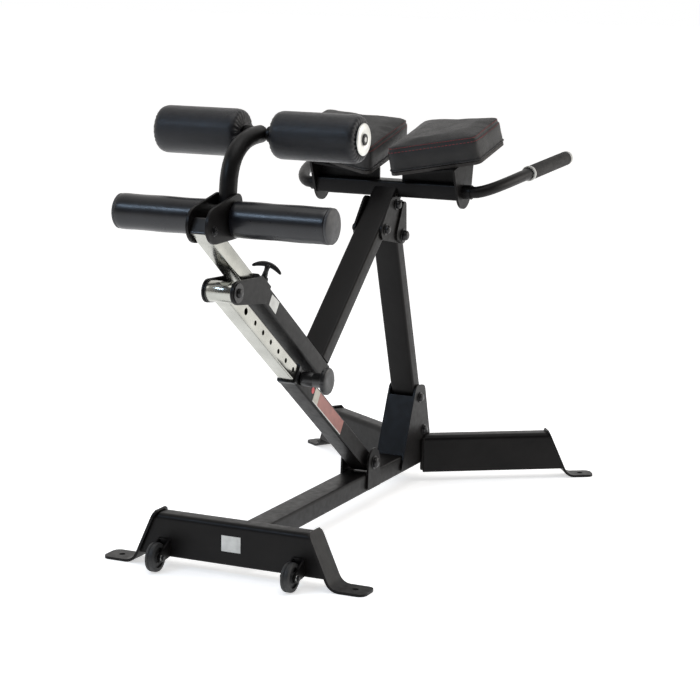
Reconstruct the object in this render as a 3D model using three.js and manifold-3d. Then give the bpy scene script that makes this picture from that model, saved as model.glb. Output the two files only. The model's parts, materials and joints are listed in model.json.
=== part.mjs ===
// Roman chair: a folding-angle back extension bench with telescoping leg, prop and split hip pads.
// Millimetres, +Z up. +X runs from the ankle rollers to the hand grips, +Y is the user's left.
// The origin is on the floor, below the middle of the bench's outer box.
import * as THREE from 'three';
import { mergeVertices } from 'three/addons/utils/BufferGeometryUtils.js';
import Module from 'manifold-3d';

const wasm = await Module();
wasm.setup();

// ---------------------------------------------------------------- driving dimensions
const GAP = 0.3; // running and seating clearance between pieces
const FRAME_TUBE = { width: 63.5, depth: 38.1, wall: 3, corner: 6 };
const BEAM = { depth: 44.5, top: 89, front: -494.2, rear: 466 };
const ARM = { width: 63.5, depth: 44.45, wall: 2.8, corner: 5, length: 425 };
const INNER_TUBE = { size: 38.1, wall: 2.5, corner: 4 };
const PROP_TUBE = { size: 44.45, wall: 2.7, corner: 4.5 };

const ARM_SLOPE = rad(-36.5); // arm and leg tube fall toward the hand grips
const DIAGONAL_SLOPE = rad(40.4);
const UPRIGHT_SLOPE = rad(107.7);

const TILT_PIVOT = { x: 252.5, z: 645 };
const PROP_PIVOT = { x: 115.5, z: 112.5 };
const BARREL = { x: -585.4, z: 623.1, radius: 22.5, bore: 18 };
const PROP_SLOPE = Math.atan2(PROP_PIVOT.z - BARREL.z, PROP_PIVOT.x - BARREL.x);
const ARM_MOUTH = { x: -484.5, z: 626 };
const DIAGONAL_FOOT = { x: -166.5, z: 393 };
const CROSS_TUBE = { x: 269.5, z: 757, half: 184 };

const PROP_OUTER_LENGTH = 475;
const PROP_INNER_LENGTH = 530;
const PROP_PIN_FROM_PIVOT = 458.8;
const PROP_HOLES = { first: 138.2, pitch: 45, count: 9, radius: 5.8 };
const PROP_END_HOLE = { at: 85, radius: 8 };

const LEG_TUBE = { top: -243, bottom: 252 }; // along the arm, from its mouth
const ARM_PIN_AT = 68.8;
const LEG_HOLES = { first: -32.8, pitch: 25.4, count: 7, radius: 4.8 };

const ANKLE = { x: -578.5, z: 775, radius: 38, inner: 28, outer: 243 };
const SHIN = { x: -418.5, z: 937, radius: 53.5, inner: 36, outer: 239 };

const FRONT_BAR = { x: -519.5, depth: 50, top: 117, bottom: 23, topHalf: 183, lean: 42 / 94 };
const FOOT = { plate: 6, width: 63.5, x: -521, tip: 316, hole: 283 };
const REAR_LEG = { x: 436.4, y: 41, sweep: rad(34), end: 305, bend: 361, hole: 399, tip: 429.85 };
const WHEEL = { x: -585.5, y: 162, radius: 32, width: 20 };

const PAD = { x: 302.5, y: 125, z: 901.5, pitch: 0.222, roll: 0.13, cushion: 64, board: 8 };
const HANDLE = { radius: 14, wall: 2.5 };
const GRIP = { radius: 17.5, from: 0.09, to: 0.958 }; // shares of the straight run

const PLATE = 5;
const SIDE = { left: 1, right: -1 };

// ---------------------------------------------------------------- materials
function finish(color, roughness, metalness) {
  return new THREE.MeshStandardMaterial({ color, roughness, metalness });
}

const PAINT = finish(0x1b1a19, 0.45, 0.3);
const DARK_STEEL = finish(0x0f0f10, 0.4, 0.8);
const CHROME = finish(0xb9b7ae, 0.12, 1);
const ZINC = finish(0x8d8d8a, 0.35, 1);
const PLASTIC = finish(0x0c0c0d, 0.35, 0);
const FOAM = finish(0x0e0e10, 0.3, 0);
const LEATHER = finish(0x121214, 0.5, 0);
const PLYWOOD = finish(0x19130e, 0.8, 0);
const RUBBER = finish(0x131313, 0.75, 0);

// ---------------------------------------------------------------- shape tools
function rad(degrees) {
  return (degrees * Math.PI) / 180;
}

/** Merges shared corners, drops empty triangles and turns every face outward. */
function closed(source) {
  const bare = source.clone();
  bare.deleteAttribute('normal');
  bare.deleteAttribute('uv');
  const merged = mergeVertices(bare, 1e-4);
  const from = merged.index.array;
  const index = [];
  for (let i = 0; i < from.length; i += 3) {
    const [a, b, c] = [from[i], from[i + 1], from[i + 2]];
    if (a !== b && b !== c && c !== a) index.push(a, b, c);
  }
  if (signedVolume(merged.attributes.position, index) < 0) index.reverse();
  merged.setIndex(index);
  return merged;
}

function signedVolume(position, index) {
  const [a, b, c] = [new THREE.Vector3(), new THREE.Vector3(), new THREE.Vector3()];
  let volume = 0;
  for (let i = 0; i < index.length; i += 3) {
    a.fromBufferAttribute(position, index[i]);
    b.fromBufferAttribute(position, index[i + 1]);
    c.fromBufferAttribute(position, index[i + 2]);
    volume += a.dot(b.cross(c)) / 6;
  }
  return volume;
}

function solid(geometry) {
  const mesh = closed(geometry);
  return new wasm.Manifold(
    new wasm.Mesh({
      numProp: 3,
      vertProperties: new Float32Array(mesh.attributes.position.array),
      triVerts: new Uint32Array(mesh.index.array),
    })
  );
}

function geometryOf(body) {
  const mesh = body.getMesh();
  const geometry = new THREE.BufferGeometry();
  geometry.setAttribute('position', new THREE.BufferAttribute(new Float32Array(mesh.vertProperties), 3));
  geometry.setIndex(Array.from(mesh.triVerts));
  return geometry;
}

function cut(geometry, ...tools) {
  return geometryOf(tools.reduce((body, tool) => body.subtract(solid(tool)), solid(geometry)));
}

function joined(geometry, ...others) {
  return geometryOf(others.reduce((body, other) => body.add(solid(other)), solid(geometry)));
}

function common(geometry, other) {
  return geometryOf(solid(geometry).intersect(solid(other)));
}

function box(xLow, xHigh, yLow, yHigh, zLow, zHigh) {
  const geometry = new THREE.BoxGeometry(xHigh - xLow, yHigh - yLow, zHigh - zLow);
  return geometry.translate((xLow + xHigh) / 2, (yLow + yHigh) / 2, (zLow + zHigh) / 2);
}

/** A box between two distances from the middle plane, on one side of the bench. */
function sideBox(side, xLow, xHigh, near, far, zLow, zHigh) {
  const [yLow, yHigh] = span(side, near, far);
  return box(xLow, xHigh, yLow, yHigh, zLow, zHigh);
}

function span(side, near, far) {
  return side > 0 ? [near, far] : [-far, -near];
}

/** A round bar along Y at a point of the side plane. */
function barAcross({ x, z }, radius, yLow, yHigh, segments = 16) {
  const geometry = new THREE.CylinderGeometry(radius, radius, yHigh - yLow, segments);
  return geometry.translate(x, (yLow + yHigh) / 2, z);
}

/** A turned piece along Y; its profile runs as [radius, y]. */
function turnedAcross({ x, z }, profile, segments = 24) {
  const points = profile.map(([radius, y]) => new THREE.Vector2(radius, y));
  return new THREE.LatheGeometry(points, segments).translate(x, 0, z);
}

function extruded(shape, depth, curveSegments = 3) {
  return new THREE.ExtrudeGeometry(shape, { depth, bevelEnabled: false, curveSegments });
}

function shapeOf(points) {
  return new THREE.Shape(points.map(([a, b]) => new THREE.Vector2(a, b)));
}

function roundedRectangle(width, height, radius, target = new THREE.Shape()) {
  const [w, h, r] = [width / 2, height / 2, radius];
  target.moveTo(-w + r, -h);
  target.lineTo(w - r, -h);
  target.absarc(w - r, -h + r, r, -Math.PI / 2, 0);
  target.lineTo(w, h - r);
  target.absarc(w - r, h - r, r, 0, Math.PI / 2);
  target.lineTo(-w + r, h);
  target.absarc(-w + r, h - r, r, Math.PI / 2, Math.PI);
  target.lineTo(-w, -h + r);
  target.absarc(-w + r, -h + r, r, Math.PI, Math.PI * 1.5);
  return target;
}

/** Cross-section of a rectangular tube. */
function tubeSection(width, depth, wall, corner) {
  const shape = roundedRectangle(width, depth, corner);
  const innerCorner = Math.max(corner - wall, 1);
  const inside = roundedRectangle(width - 2 * wall, depth - 2 * wall, innerCorner, new THREE.Path());
  shape.holes.push(inside);
  return shape;
}

/** Frame of a member in the side plane: x is across the bench, y the member's upper normal, z along it. */
function memberFrame({ x, z }, slope) {
  const across = new THREE.Vector3(0, 1, 0);
  const up = new THREE.Vector3(-Math.sin(slope), 0, Math.cos(slope));
  const along = new THREE.Vector3(Math.cos(slope), 0, Math.sin(slope));
  return new THREE.Matrix4().makeBasis(across, up, along).setPosition(x, 0, z);
}

/** A tube in the side plane, from one distance along its member frame to another. */
function memberTube(frame, section, from, to) {
  return extruded(section, to - from).translate(0, 0, from).applyMatrix4(frame);
}

function memberBox(frame, acrossHalf, upLow, upHigh, from, to) {
  return box(-acrossHalf, acrossHalf, upLow, upHigh, from, to).applyMatrix4(frame);
}

/** The point at a distance along a member and above its axis. */
function memberPoint(frame, along, up = 0) {
  const point = new THREE.Vector3(0, up, along).applyMatrix4(frame);
  return { x: point.x, z: point.z };
}

/** The outline that a belt would take round some circles, given as { x, z, r }. */
function beltOutline(circles, steps = 24) {
  const points = circles.flatMap(({ x, z, r }) => {
    const count = r > 2 ? steps : 1;
    return Array.from({ length: count }, (_, i) => {
      const turn = (2 * Math.PI * i) / count;
      return r > 2 ? [x + r * Math.cos(turn), z + r * Math.sin(turn)] : [x, z];
    });
  });
  points.sort((p, q) => p[0] - q[0] || p[1] - q[1]);
  return [...halfHull(points), ...halfHull(points.reverse())];
}

function halfHull(points) {
  const hull = [];
  const turn = (o, a, b) => (a[0] - o[0]) * (b[1] - o[1]) - (a[1] - o[1]) * (b[0] - o[0]);
  for (const point of points) {
    while (hull.length > 1 && turn(hull.at(-2), hull.at(-1), point) <= 1e-6) hull.pop();
    hull.push(point);
  }
  return hull.slice(0, -1);
}

/** A flat plate in the side plane, between two values of y. */
function sidePlate(outline, yLow, yHigh) {
  const frame = new THREE.Matrix4().makeBasis(
    new THREE.Vector3(1, 0, 0),
    new THREE.Vector3(0, 0, 1),
    new THREE.Vector3(0, -1, 0)
  );
  return extruded(shapeOf(outline), yHigh - yLow).applyMatrix4(frame.setPosition(0, yHigh, 0));
}

/** A through bolt along Y with a domed head and a cap nut; grip is half the clamped width. */
function throughBolt(centre, grip, shank, head, headLength, shoulder = null) {
  const step = (sign, from, to) => [
    [shank, sign * from],
    [shoulder.radius, sign * from],
    [shoulder.radius, sign * to],
    [shank, sign * to],
  ];
  const middle = shoulder
    ? [...step(-1, shoulder.far, shoulder.near), ...step(1, shoulder.near, shoulder.far)]
    : [];
  const outer = grip + headLength;
  return turnedAcross(centre, [
    [0, -outer],
    [head * 0.5, -outer + 0.8],
    [head * 0.86, -outer + headLength * 0.35],
    [head, -grip - headLength * 0.4],
    [head, -grip - GAP],
    [shank, -grip - GAP],
    ...middle,
    [shank, grip + GAP],
    [head, grip + GAP],
    [head, grip + headLength * 0.4],
    [head * 0.86, outer - headLength * 0.35],
    [head * 0.5, outer - 0.8],
    [0, outer],
  ], 14);
}

/** A run of straight steps through given points, for sections swept along a bend. */
class SampledPath extends THREE.Curve {
  constructor(points) {
    super();
    this.points = points;
  }

  getPoint(t, target = new THREE.Vector3()) {
    const last = this.points.length - 2;
    const place = t * (last + 1);
    const step = Math.min(Math.floor(place), last);
    return target.lerpVectors(this.points[step], this.points[step + 1], place - step);
  }

  getPointAt(u, target) {
    return this.getPoint(u, target);
  }

  getTangentAt(u, target = new THREE.Vector3()) {
    const i = Math.round(u * (this.points.length - 1));
    const before = this.points[Math.max(i - 1, 0)];
    const after = this.points[Math.min(i + 1, this.points.length - 1)];
    return target.subVectors(after, before).normalize();
  }
}

/** A round bar or tube swept along points; a bore of 0 makes it solid. */
function sweptRound(points, radius, bore = 0, segments = 7) {
  const section = new THREE.Shape().absarc(0, 0, radius, 0, 2 * Math.PI);
  if (bore > 0) section.holes.push(new THREE.Path().absarc(0, 0, bore, 0, 2 * Math.PI));
  const path = new SampledPath(points);
  const steps = points.length - 1;
  const options = { steps, bevelEnabled: false, curveSegments: segments, extrudePath: path };
  return new THREE.ExtrudeGeometry(section, options);
}

/** A coil spring along +Z from the origin. */
function coilSpring(radius, wire, length, turns) {
  const steps = 8 * turns;
  const points = Array.from({ length: steps + 1 }, (_, i) => {
    const turn = (2 * Math.PI * turns * i) / steps;
    return new THREE.Vector3(radius * Math.cos(turn), radius * Math.sin(turn), (length * i) / steps);
  });
  return sweptRound(points, wire, 0, 3);
}

// ---------------------------------------------------------------- scene graph
const group = new THREE.Group();

function add(name, geometry, material) {
  const mesh = new THREE.Mesh(closed(geometry), material);
  mesh.name = name;
  group.add(mesh);
}

const armFrame = memberFrame(ARM_MOUTH, ARM_SLOPE);
const propFrame = memberFrame(PROP_PIVOT, PROP_SLOPE);
const diagonalFrame = memberFrame(DIAGONAL_FOOT, DIAGONAL_SLOPE);
const uprightFrame = memberFrame(TILT_PIVOT, UPRIGHT_SLOPE);
const frameHalf = FRAME_TUBE.width / 2;
const plateNear = frameHalf + GAP;
const plateFar = plateNear + PLATE;
const uprightBoltUpper = memberPoint(uprightFrame, -446);
const uprightBoltLower = memberPoint(uprightFrame, -537);
const tiltBoltUpper = memberPoint(diagonalFrame, 508);
const tiltBoltLower = memberPoint(diagonalFrame, 427);

// ---------------------------------------------------------------- base
function mainBeam() {
  const frame = memberFrame({ x: 0, z: BEAM.top - BEAM.depth / 2 }, 0);
  const section = tubeSection(FRAME_TUBE.width, BEAM.depth, FRAME_TUBE.wall, FRAME_TUBE.corner);
  return memberTube(frame, section, BEAM.front, BEAM.rear);
}

/** Section of the base bars: deep, with well rounded upper edges. */
function baseBarSection(shrink, target) {
  const [w, low, high] = [FRONT_BAR.depth / 2 - shrink, FRONT_BAR.bottom + shrink, FRONT_BAR.top - shrink];
  const [top, base] = [13 - shrink, 5 - shrink];
  target.moveTo(-w + base, low);
  target.lineTo(w - base, low);
  target.absarc(w - base, low + base, base, -Math.PI / 2, 0);
  target.absarc(w - top, high - top, top, 0, Math.PI / 2);
  target.absarc(-w + top, high - top, top, Math.PI / 2, Math.PI);
  target.absarc(-w + base, low + base, base, Math.PI, Math.PI * 1.5);
  return target;
}

/** A length of base bar along local y, from -reach to reach. */
function baseBar(reach) {
  const section = baseBarSection(0, new THREE.Shape());
  section.holes.push(baseBarSection(3, new THREE.Path()));
  return extruded(section, 2 * reach, 4).rotateX(Math.PI / 2).translate(0, reach, 0);
}

/** Half-width of the leaning bar end at a height. */
const leanAt = (z, atTop) => atTop + (FRONT_BAR.top - z) * FRONT_BAR.lean;

/** A prism along local x whose section runs as [y, z]. */
function prismAlongX(points, xLow, xHigh) {
  const frame = new THREE.Matrix4().makeBasis(
    new THREE.Vector3(0, 1, 0),
    new THREE.Vector3(0, 0, 1),
    new THREE.Vector3(1, 0, 0)
  );
  return extruded(shapeOf(points), xHigh - xLow).applyMatrix4(frame.setPosition(xLow, 0, 0));
}

function frontStabilizer() {
  const [low, high] = [0, 130];
  const trim = prismAlongX([
    [-leanAt(low, FRONT_BAR.topHalf), low],
    [leanAt(low, FRONT_BAR.topHalf), low],
    [leanAt(high, FRONT_BAR.topHalf), high],
    [-leanAt(high, FRONT_BAR.topHalf), high],
  ], -60, 60);
  return common(baseBar(260), trim).translate(FRONT_BAR.x, 0, 0);
}

/** A bent flat foot: a leaning upper leg on the bar's end and a flat toe with a bolt hole. */
function bentFoot(atTop, tip, hole, width) {
  const inner = (z) => leanAt(z, atTop) + GAP * 1.1;
  const thick = FOOT.plate * 1.1;
  const [upper, toe] = [FRONT_BAR.top + 6, FOOT.plate];
  const profile = [
    [inner(upper), upper],
    [inner(upper) + thick, upper],
    [inner(toe) + thick, toe],
    [tip, toe],
    [tip, 0],
    [inner(0), 0],
  ];
  const blank = prismAlongX(profile, -width / 2, width / 2);
  const drill = new THREE.CylinderGeometry(7, 7, 30, 18).rotateX(Math.PI / 2).translate(0, hole, 0);
  return cut(blank, drill);
}

function frontFoot(side) {
  const foot = bentFoot(FRONT_BAR.topHalf, FOOT.tip, FOOT.hole, FOOT.width);
  return foot.rotateZ(side > 0 ? 0 : Math.PI).translate(FOOT.x, 0, 0);
}

/** Frame of a swept rear leg: local y runs outward along it. */
function rearLegFrame(side) {
  const turn = side > 0 ? -REAR_LEG.sweep : Math.PI + REAR_LEG.sweep;
  return new THREE.Matrix4().makeRotationZ(turn).setPosition(REAR_LEG.x, side * REAR_LEG.y, 0);
}

function rearLeg(side) {
  const [low, high] = [0, 130];
  const trim = prismAlongX([
    [-90, low],
    [leanAt(low, REAR_LEG.end), low],
    [leanAt(high, REAR_LEG.end), high],
    [-90, high],
  ], -60, 60);
  const flangeNear = plateFar + GAP;
  const flangeFar = flangeNear + 6;
  const inboard = sideBox(side, 200, 700, -200, flangeNear + 3, -10, 150);
  const leg = cut(common(baseBar(420), trim).applyMatrix4(rearLegFrame(side)), inboard);
  const flange = sidePlate(beltOutline([
    { x: 404, z: 38, r: 8 },
    { x: 404, z: 104, r: 8 },
    { x: 476, z: 38, r: 8 },
    { x: 476, z: 104, r: 8 },
  ]), ...span(side, flangeNear, flangeFar));
  return joined(flange, leg);
}

function rearFoot(side) {
  return bentFoot(REAR_LEG.end, REAR_LEG.tip, REAR_LEG.hole, 50).applyMatrix4(rearLegFrame(side));
}

function wheelBracket(side) {
  const centre = side * WHEEL.y;
  const face = FRONT_BAR.x - FRONT_BAR.depth / 2 - GAP;
  const ear = WHEEL.width / 2 + 1;
  const outline = beltOutline([
    { x: WHEEL.x, z: WHEEL.radius, r: 11 },
    { x: face, z: 26, r: 0 },
    { x: face, z: 64, r: 0 },
  ]);
  const back = box(face - 3.5, face, centre - ear - 4, centre + ear + 4, 26, 64);
  const ears = [centre - ear - 4, centre + ear].map((from) => sidePlate(outline, from, from + 4));
  const hole = barAcross({ x: WHEEL.x, z: WHEEL.radius }, 4.5, centre - 30, centre + 30, 16);
  return cut(joined(back, ...ears), hole);
}

/** A solid-rubber transport wheel with a raised hub. */
function wheel(side) {
  const [r, w] = [WHEEL.radius, WHEEL.width / 2];
  const profile = [
    [4.6, -w], [12, -w], [13, -w + 2], [22, -w + 2], [23, -w], [r - 3, -w], [r, -w + 3],
    [r, w - 3], [r - 3, w], [23, w], [22, w - 2], [13, w - 2], [12, w], [4.6, w], [4.6, -w],
  ];
  return turnedAcross({ x: WHEEL.x, z: WHEEL.radius }, profile, 24).translate(0, side * WHEEL.y, 0);
}

function wheelAxle(side) {
  const centre = { x: WHEEL.x, z: WHEEL.radius };
  return throughBolt(centre, WHEEL.width / 2 + 5, 4, 7, 5).translate(0, side * WHEEL.y, 0);
}

// ---------------------------------------------------------------- upright
function uprightPost() {
  const section = tubeSection(FRAME_TUBE.width, FRAME_TUBE.depth, FRAME_TUBE.wall, FRAME_TUBE.corner);
  const post = memberTube(uprightFrame, section, -620, 24);
  const floor = box(200, 600, -60, 60, -20, BEAM.top + GAP);
  const drill = (centre, radius) => barAcross(centre, radius, -60, 60);
  return cut(post, floor, drill(TILT_PIVOT, 8.4), drill(uprightBoltUpper, 6.4), drill(uprightBoltLower, 6.4));
}

/** The folded bracket that straddles the beam and clasps the foot of the upright. */
function uprightGusset() {
  const cheek = beltOutline([
    { x: 376, z: 238, r: 16 },
    { x: 404, z: 230, r: 20 },
    { x: 290, z: 60, r: 8 },
    { x: 452, z: 60, r: 8 },
    { x: 446, z: 118, r: 10 },
  ]);
  const web = [[294.6, BEAM.top + GAP], [300.4, BEAM.top + GAP], [359, 226], [354, 229]];
  const cheeks = Object.values(SIDE).map((side) => sidePlate(cheek, ...span(side, plateNear, plateFar)));
  const drills = [uprightBoltUpper, uprightBoltLower].map((centre) => barAcross(centre, 6.4, -60, 60));
  return cut(joined(sidePlate(web, -plateFar, plateFar), ...cheeks), ...drills);
}

// ---------------------------------------------------------------- prop
function propBracket(side) {
  const outline = beltOutline([
    { x: PROP_PIVOT.x, z: PROP_PIVOT.z + 3, r: 32 },
    { x: 88, z: 58, r: 8 },
    { x: 148, z: 58, r: 8 },
  ]);
  const hole = barAcross(PROP_PIVOT, 6.4, -60, 60);
  return cut(sidePlate(outline, ...span(side, plateNear, plateFar)), hole);
}

function propHingeBolt() {
  const shoulder = { radius: 13, near: PROP_TUBE.size / 2 + GAP, far: plateNear - GAP };
  return throughBolt(PROP_PIVOT, plateFar, 6, 10, 11, shoulder);
}

/** The prop's tubes run from the hinge toward the barrel, against the member frame. */
const propPoint = (fromPivot) => memberPoint(propFrame, -fromPivot);
const barrelDistance = Math.hypot(BARREL.x - PROP_PIVOT.x, BARREL.z - PROP_PIVOT.z);

function propOuterTube() {
  const section = tubeSection(PROP_TUBE.size, PROP_TUBE.size, PROP_TUBE.wall, PROP_TUBE.corner);
  const half = PROP_TUBE.size / 2;
  const ends = [half, -half].map((up) => ({ ...memberPoint(propFrame, -PROP_OUTER_LENGTH, up), r: 0 }));
  const envelope = sidePlate(beltOutline([{ ...PROP_PIVOT, r: half }, ...ends], 32), -half - 1, half + 1);
  const tube = common(memberTube(propFrame, section, -PROP_OUTER_LENGTH - 1, half), envelope);
  const pinHole = barAcross(propPoint(PROP_PIN_FROM_PIVOT), 5.9, -30, -10);
  return cut(tube, barAcross(PROP_PIVOT, 6.4, -60, 60), pinHole);
}

function propCollar() {
  const section = tubeSection(PROP_TUBE.size + 2.5, PROP_TUBE.size + 2.5, 4, 5);
  return memberTube(propFrame, section, -PROP_OUTER_LENGTH - GAP - 9, -PROP_OUTER_LENGTH - GAP);
}

function propInnerTube() {
  const section = tubeSection(INNER_TUBE.size, INNER_TUBE.size, INNER_TUBE.wall, INNER_TUBE.corner);
  const tube = memberTube(propFrame, section, -barrelDistance + 12, -barrelDistance + PROP_INNER_LENGTH);
  const drill = (fromBarrel, radius) => {
    const centre = propPoint(barrelDistance - fromBarrel);
    return barAcross(centre, radius, -30, -8, 12);
  };
  const holes = Array.from({ length: PROP_HOLES.count }, (_, i) =>
    drill(PROP_HOLES.first + i * PROP_HOLES.pitch, PROP_HOLES.radius)
  );
  const cope = barAcross(BARREL, BARREL.radius + GAP, -60, 60, 32);
  return cut(tube, cope, drill(PROP_END_HOLE.at, PROP_END_HOLE.radius), ...holes);
}

function propBarrel() {
  const w = frameHalf;
  return turnedAcross(BARREL, [
    [BARREL.bore, -w], [BARREL.radius - 1, -w], [BARREL.radius, -w + 1], [BARREL.radius, w - 1],
    [BARREL.radius - 1, w], [BARREL.bore, w], [BARREL.bore, -w],
  ], 32);
}

/** Turns a pull-pin piece, drawn as [radius, distance outward], onto the prop's right side. */
function onPropSide(profile, segments = 18) {
  const outward = profile.map(([radius, out]) => [radius, -out]);
  return turnedAcross(propPoint(PROP_PIN_FROM_PIVOT), outward, segments);
}

function propPinHousing() {
  const face = PROP_TUBE.size / 2 + GAP;
  return onPropSide([
    [5.8, face], [13.2, face], [13.2, 56], [5.8, 56], [5.8, 52.5], [9.3, 52.5], [9.3, 28], [5.8, 28],
    [5.8, face],
  ]);
}

/** Pin, collar and flanged pull knob whose skirt covers the housing. */
function propPin() {
  return onPropSide([
    [0, 20], [4.4, 20], [5.2, 21.5], [5.2, 28.4], [8.6, 28.4], [8.6, 31], [5.2, 31], [5.2, 72], [14.2, 72],
    [14.2, 26], [15.6, 25.5], [16.4, 27.5], [16.4, 73], [22, 77], [30, 79.5], [31, 84], [29.5, 89],
    [24, 91.5], [0, 92.5],
  ], 22);
}

function propPinSpring() {
  const { x, z } = propPoint(PROP_PIN_FROM_PIVOT);
  return coilSpring(7.1, 0.8, 9, 4).rotateX(Math.PI / 2).translate(x, -32.3, z);
}

// ---------------------------------------------------------------- tilting frame
/** A hole tool across the arm's top wall, or any height along its upper normal. */
function armDrill(along, radius, low, high) {
  const tool = new THREE.CylinderGeometry(radius, radius, high - low, 12);
  return tool.translate(0, (low + high) / 2, along).applyMatrix4(armFrame);
}

function armTube() {
  const section = tubeSection(ARM.width, ARM.depth, ARM.wall, ARM.corner);
  return cut(memberTube(armFrame, section, 0, ARM.length), armDrill(ARM_PIN_AT, 4.9, 15, 30));
}

/** Slide bushing at the arm's mouth: a ring outside and two packing blocks beside the leg tube. */
function armBushing() {
  const mouth = roundedRectangle(ARM.width, ARM.depth, ARM.corner);
  mouth.holes.push(roundedRectangle(INNER_TUBE.size + 0.8, INNER_TUBE.size + 0.8, 3, new THREE.Path()));
  const ring = memberTube(armFrame, mouth, -GAP - 8, -GAP);
  const filler = (side) => {
    const [near, far] = span(side, INNER_TUBE.size / 2 + 0.4, ARM.width / 2 - ARM.wall - GAP);
    return box(near, far, -17.4, 17.4, -GAP - 8, 60).applyMatrix4(armFrame);
  };
  return joined(ring, filler(1), filler(-1));
}

function carriagePlate(side) {
  const corners = [[0, 21], [0, -21], [45, 21], [45, -21]].map(([along, up]) => ({
    ...memberPoint(armFrame, along, up),
    r: 0,
  }));
  const outline = beltOutline([{ x: BARREL.x, z: BARREL.z, r: 25 }, ...corners], 32);
  return cut(sidePlate(outline, ...span(side, plateNear, plateFar)), barAcross(BARREL, 6.4, -60, 60));
}

function diagonalTube() {
  const section = tubeSection(FRAME_TUBE.width, FRAME_TUBE.depth, FRAME_TUBE.wall, FRAME_TUBE.corner);
  const tube = memberTube(diagonalFrame, section, -60, 600);
  const belowArmTop = memberBox(armFrame, 60, -150, ARM.depth / 2 + GAP, 200, 620);
  const crossTubeSeat = box(CROSS_TUBE.x - frameHalf - GAP, 400, -60, 60, CROSS_TUBE.z - 19.05 - GAP, 900);
  const drills = [tiltBoltUpper, tiltBoltLower].map((centre) => barAcross(centre, 6.4, -60, 60));
  return cut(tube, belowArmTop, crossTubeSeat, ...drills);
}

/** Pivot plate with a doubler round the pivot bolt. */
function tiltPlate(side) {
  const plate = beltOutline([
    { x: 158.5, z: 667, r: 24 },
    { x: 202.5, z: 718, r: 24 },
    { x: 250, z: 712, r: 18 },
    { x: 252.5, z: 645, r: 20 },
  ]);
  const doubler = beltOutline([
    { x: 259, z: 716, r: 10 },
    { x: 252.5, z: 645, r: 20 },
    { x: 230.5, z: 650, r: 16 },
  ]);
  const both = joined(
    sidePlate(plate, ...span(side, plateNear, plateFar)),
    sidePlate(doubler, ...span(side, plateFar - 1, plateFar + PLATE))
  );
  const drill = (centre, radius) => barAcross(centre, radius, -60, 60);
  return cut(both, drill(TILT_PIVOT, 8.4), drill(tiltBoltUpper, 6.4), drill(tiltBoltLower, 6.4));
}

/** Frame of a pad: z is the pad's outward normal, the origin lies on its top. */
function padFrame(side) {
  const normal = new THREE.Vector3(-PAD.pitch, -PAD.roll * side, 1).normalize();
  const along = new THREE.Vector3(1, 0, PAD.pitch).normalize();
  const across = new THREE.Vector3().crossVectors(normal, along);
  return new THREE.Matrix4().makeBasis(along, across, normal).setPosition(PAD.x, side * PAD.y, PAD.z);
}

/** Rounded outline of a pad in its own frame, from its corners seen from above. */
function padOutline(side, shrink = 0) {
  const corners = [[179.5, 17], [424.5, 17], [388.5, 236], [222.5, 236]];
  const inverse = padFrame(side).invert();
  const flat = corners.map(([x, y]) => {
    const height = PAD.z + PAD.pitch * (x - PAD.x) + PAD.roll * (y - PAD.y);
    return new THREE.Vector3(x, side * y, height).applyMatrix4(inverse);
  });
  const centre = flat.reduce((sum, p) => sum.add(p), new THREE.Vector3()).multiplyScalar(1 / flat.length);
  const radius = 18;
  const circles = flat.map((p) => {
    const inward = centre.clone().sub(p).normalize().multiplyScalar((radius + shrink) * 1.35);
    return { x: p.x + inward.x, z: p.y + inward.y, r: radius };
  });
  return beltOutline(circles, 16);
}

function padSlab(side, top, thickness, shrink) {
  return extruded(shapeOf(padOutline(side, shrink)), thickness)
    .translate(0, 0, top - thickness)
    .applyMatrix4(padFrame(side));
}

/** The cushion with its upper edge rounded over in steps. */
function padCushion(side) {
  const body = padSlab(side, -10, PAD.cushion - 10, 0);
  const steps = [[-4, 1.6], [-1.2, 4.2], [0, 8]];
  return steps.reduce((sum, [top, shrink]) => joined(sum, padSlab(side, top, 12, shrink)), body);
}

function padBoard(side) {
  return padSlab(side, -PAD.cushion - GAP, PAD.board, 3);
}

/** Height of the boards' underside at a place, with a clearance below it. */
function underBoard(x, y, clearance = GAP) {
  const steep = Math.hypot(1, PAD.pitch, PAD.roll);
  const depth = PAD.cushion + GAP + PAD.board + clearance;
  return PAD.z + PAD.pitch * (x - PAD.x) + PAD.roll * (Math.abs(y) - PAD.y) - depth * steep;
}

/** Cross-tube with its end plates, handle collars and the pitched flanges under the boards. */
function padCrossTube() {
  const { x, z, half } = CROSS_TUBE;
  const section = tubeSection(FRAME_TUBE.width, FRAME_TUBE.depth, FRAME_TUBE.wall, FRAME_TUBE.corner);
  const tube = extruded(section, 2 * half).rotateX(Math.PI / 2).translate(x, half, z);
  const outline = beltOutline([
    { x: 274, z: 759, r: 43 },
    { x: 207, z: underBoard(207, half), r: 0 },
    { x: 333, z: underBoard(333, half), r: 0 },
  ], 32);
  const parts = Object.values(SIDE).flatMap((side) => {
    const endPlate = sidePlate(outline, ...span(side, half - 0.5, half + PLATE));
    const collar = barAcross({ x, z }, 17, ...span(side, half, half + 26), 24);
    const web = prismAlongX([
      [side * 30, z + 17],
      [side * half, z + 17],
      [side * half, underBoard(x, half) - 3],
      [side * 30, underBoard(x, 30) - 3],
    ], x - 3, x + 3);
    return [endPlate, collar, web, flangePlate(side, x - 55, x + 58, 56, half + 1, 5)];
  });
  const bore = box(x - 28, x + 28, -half + 1, half - 1, z - 15.9, z + 15.9);
  const throat = barAcross({ x, z }, 14.6, -300, 300, 24);
  return cut(joined(tube, ...parts), bore, throat);
}

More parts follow.
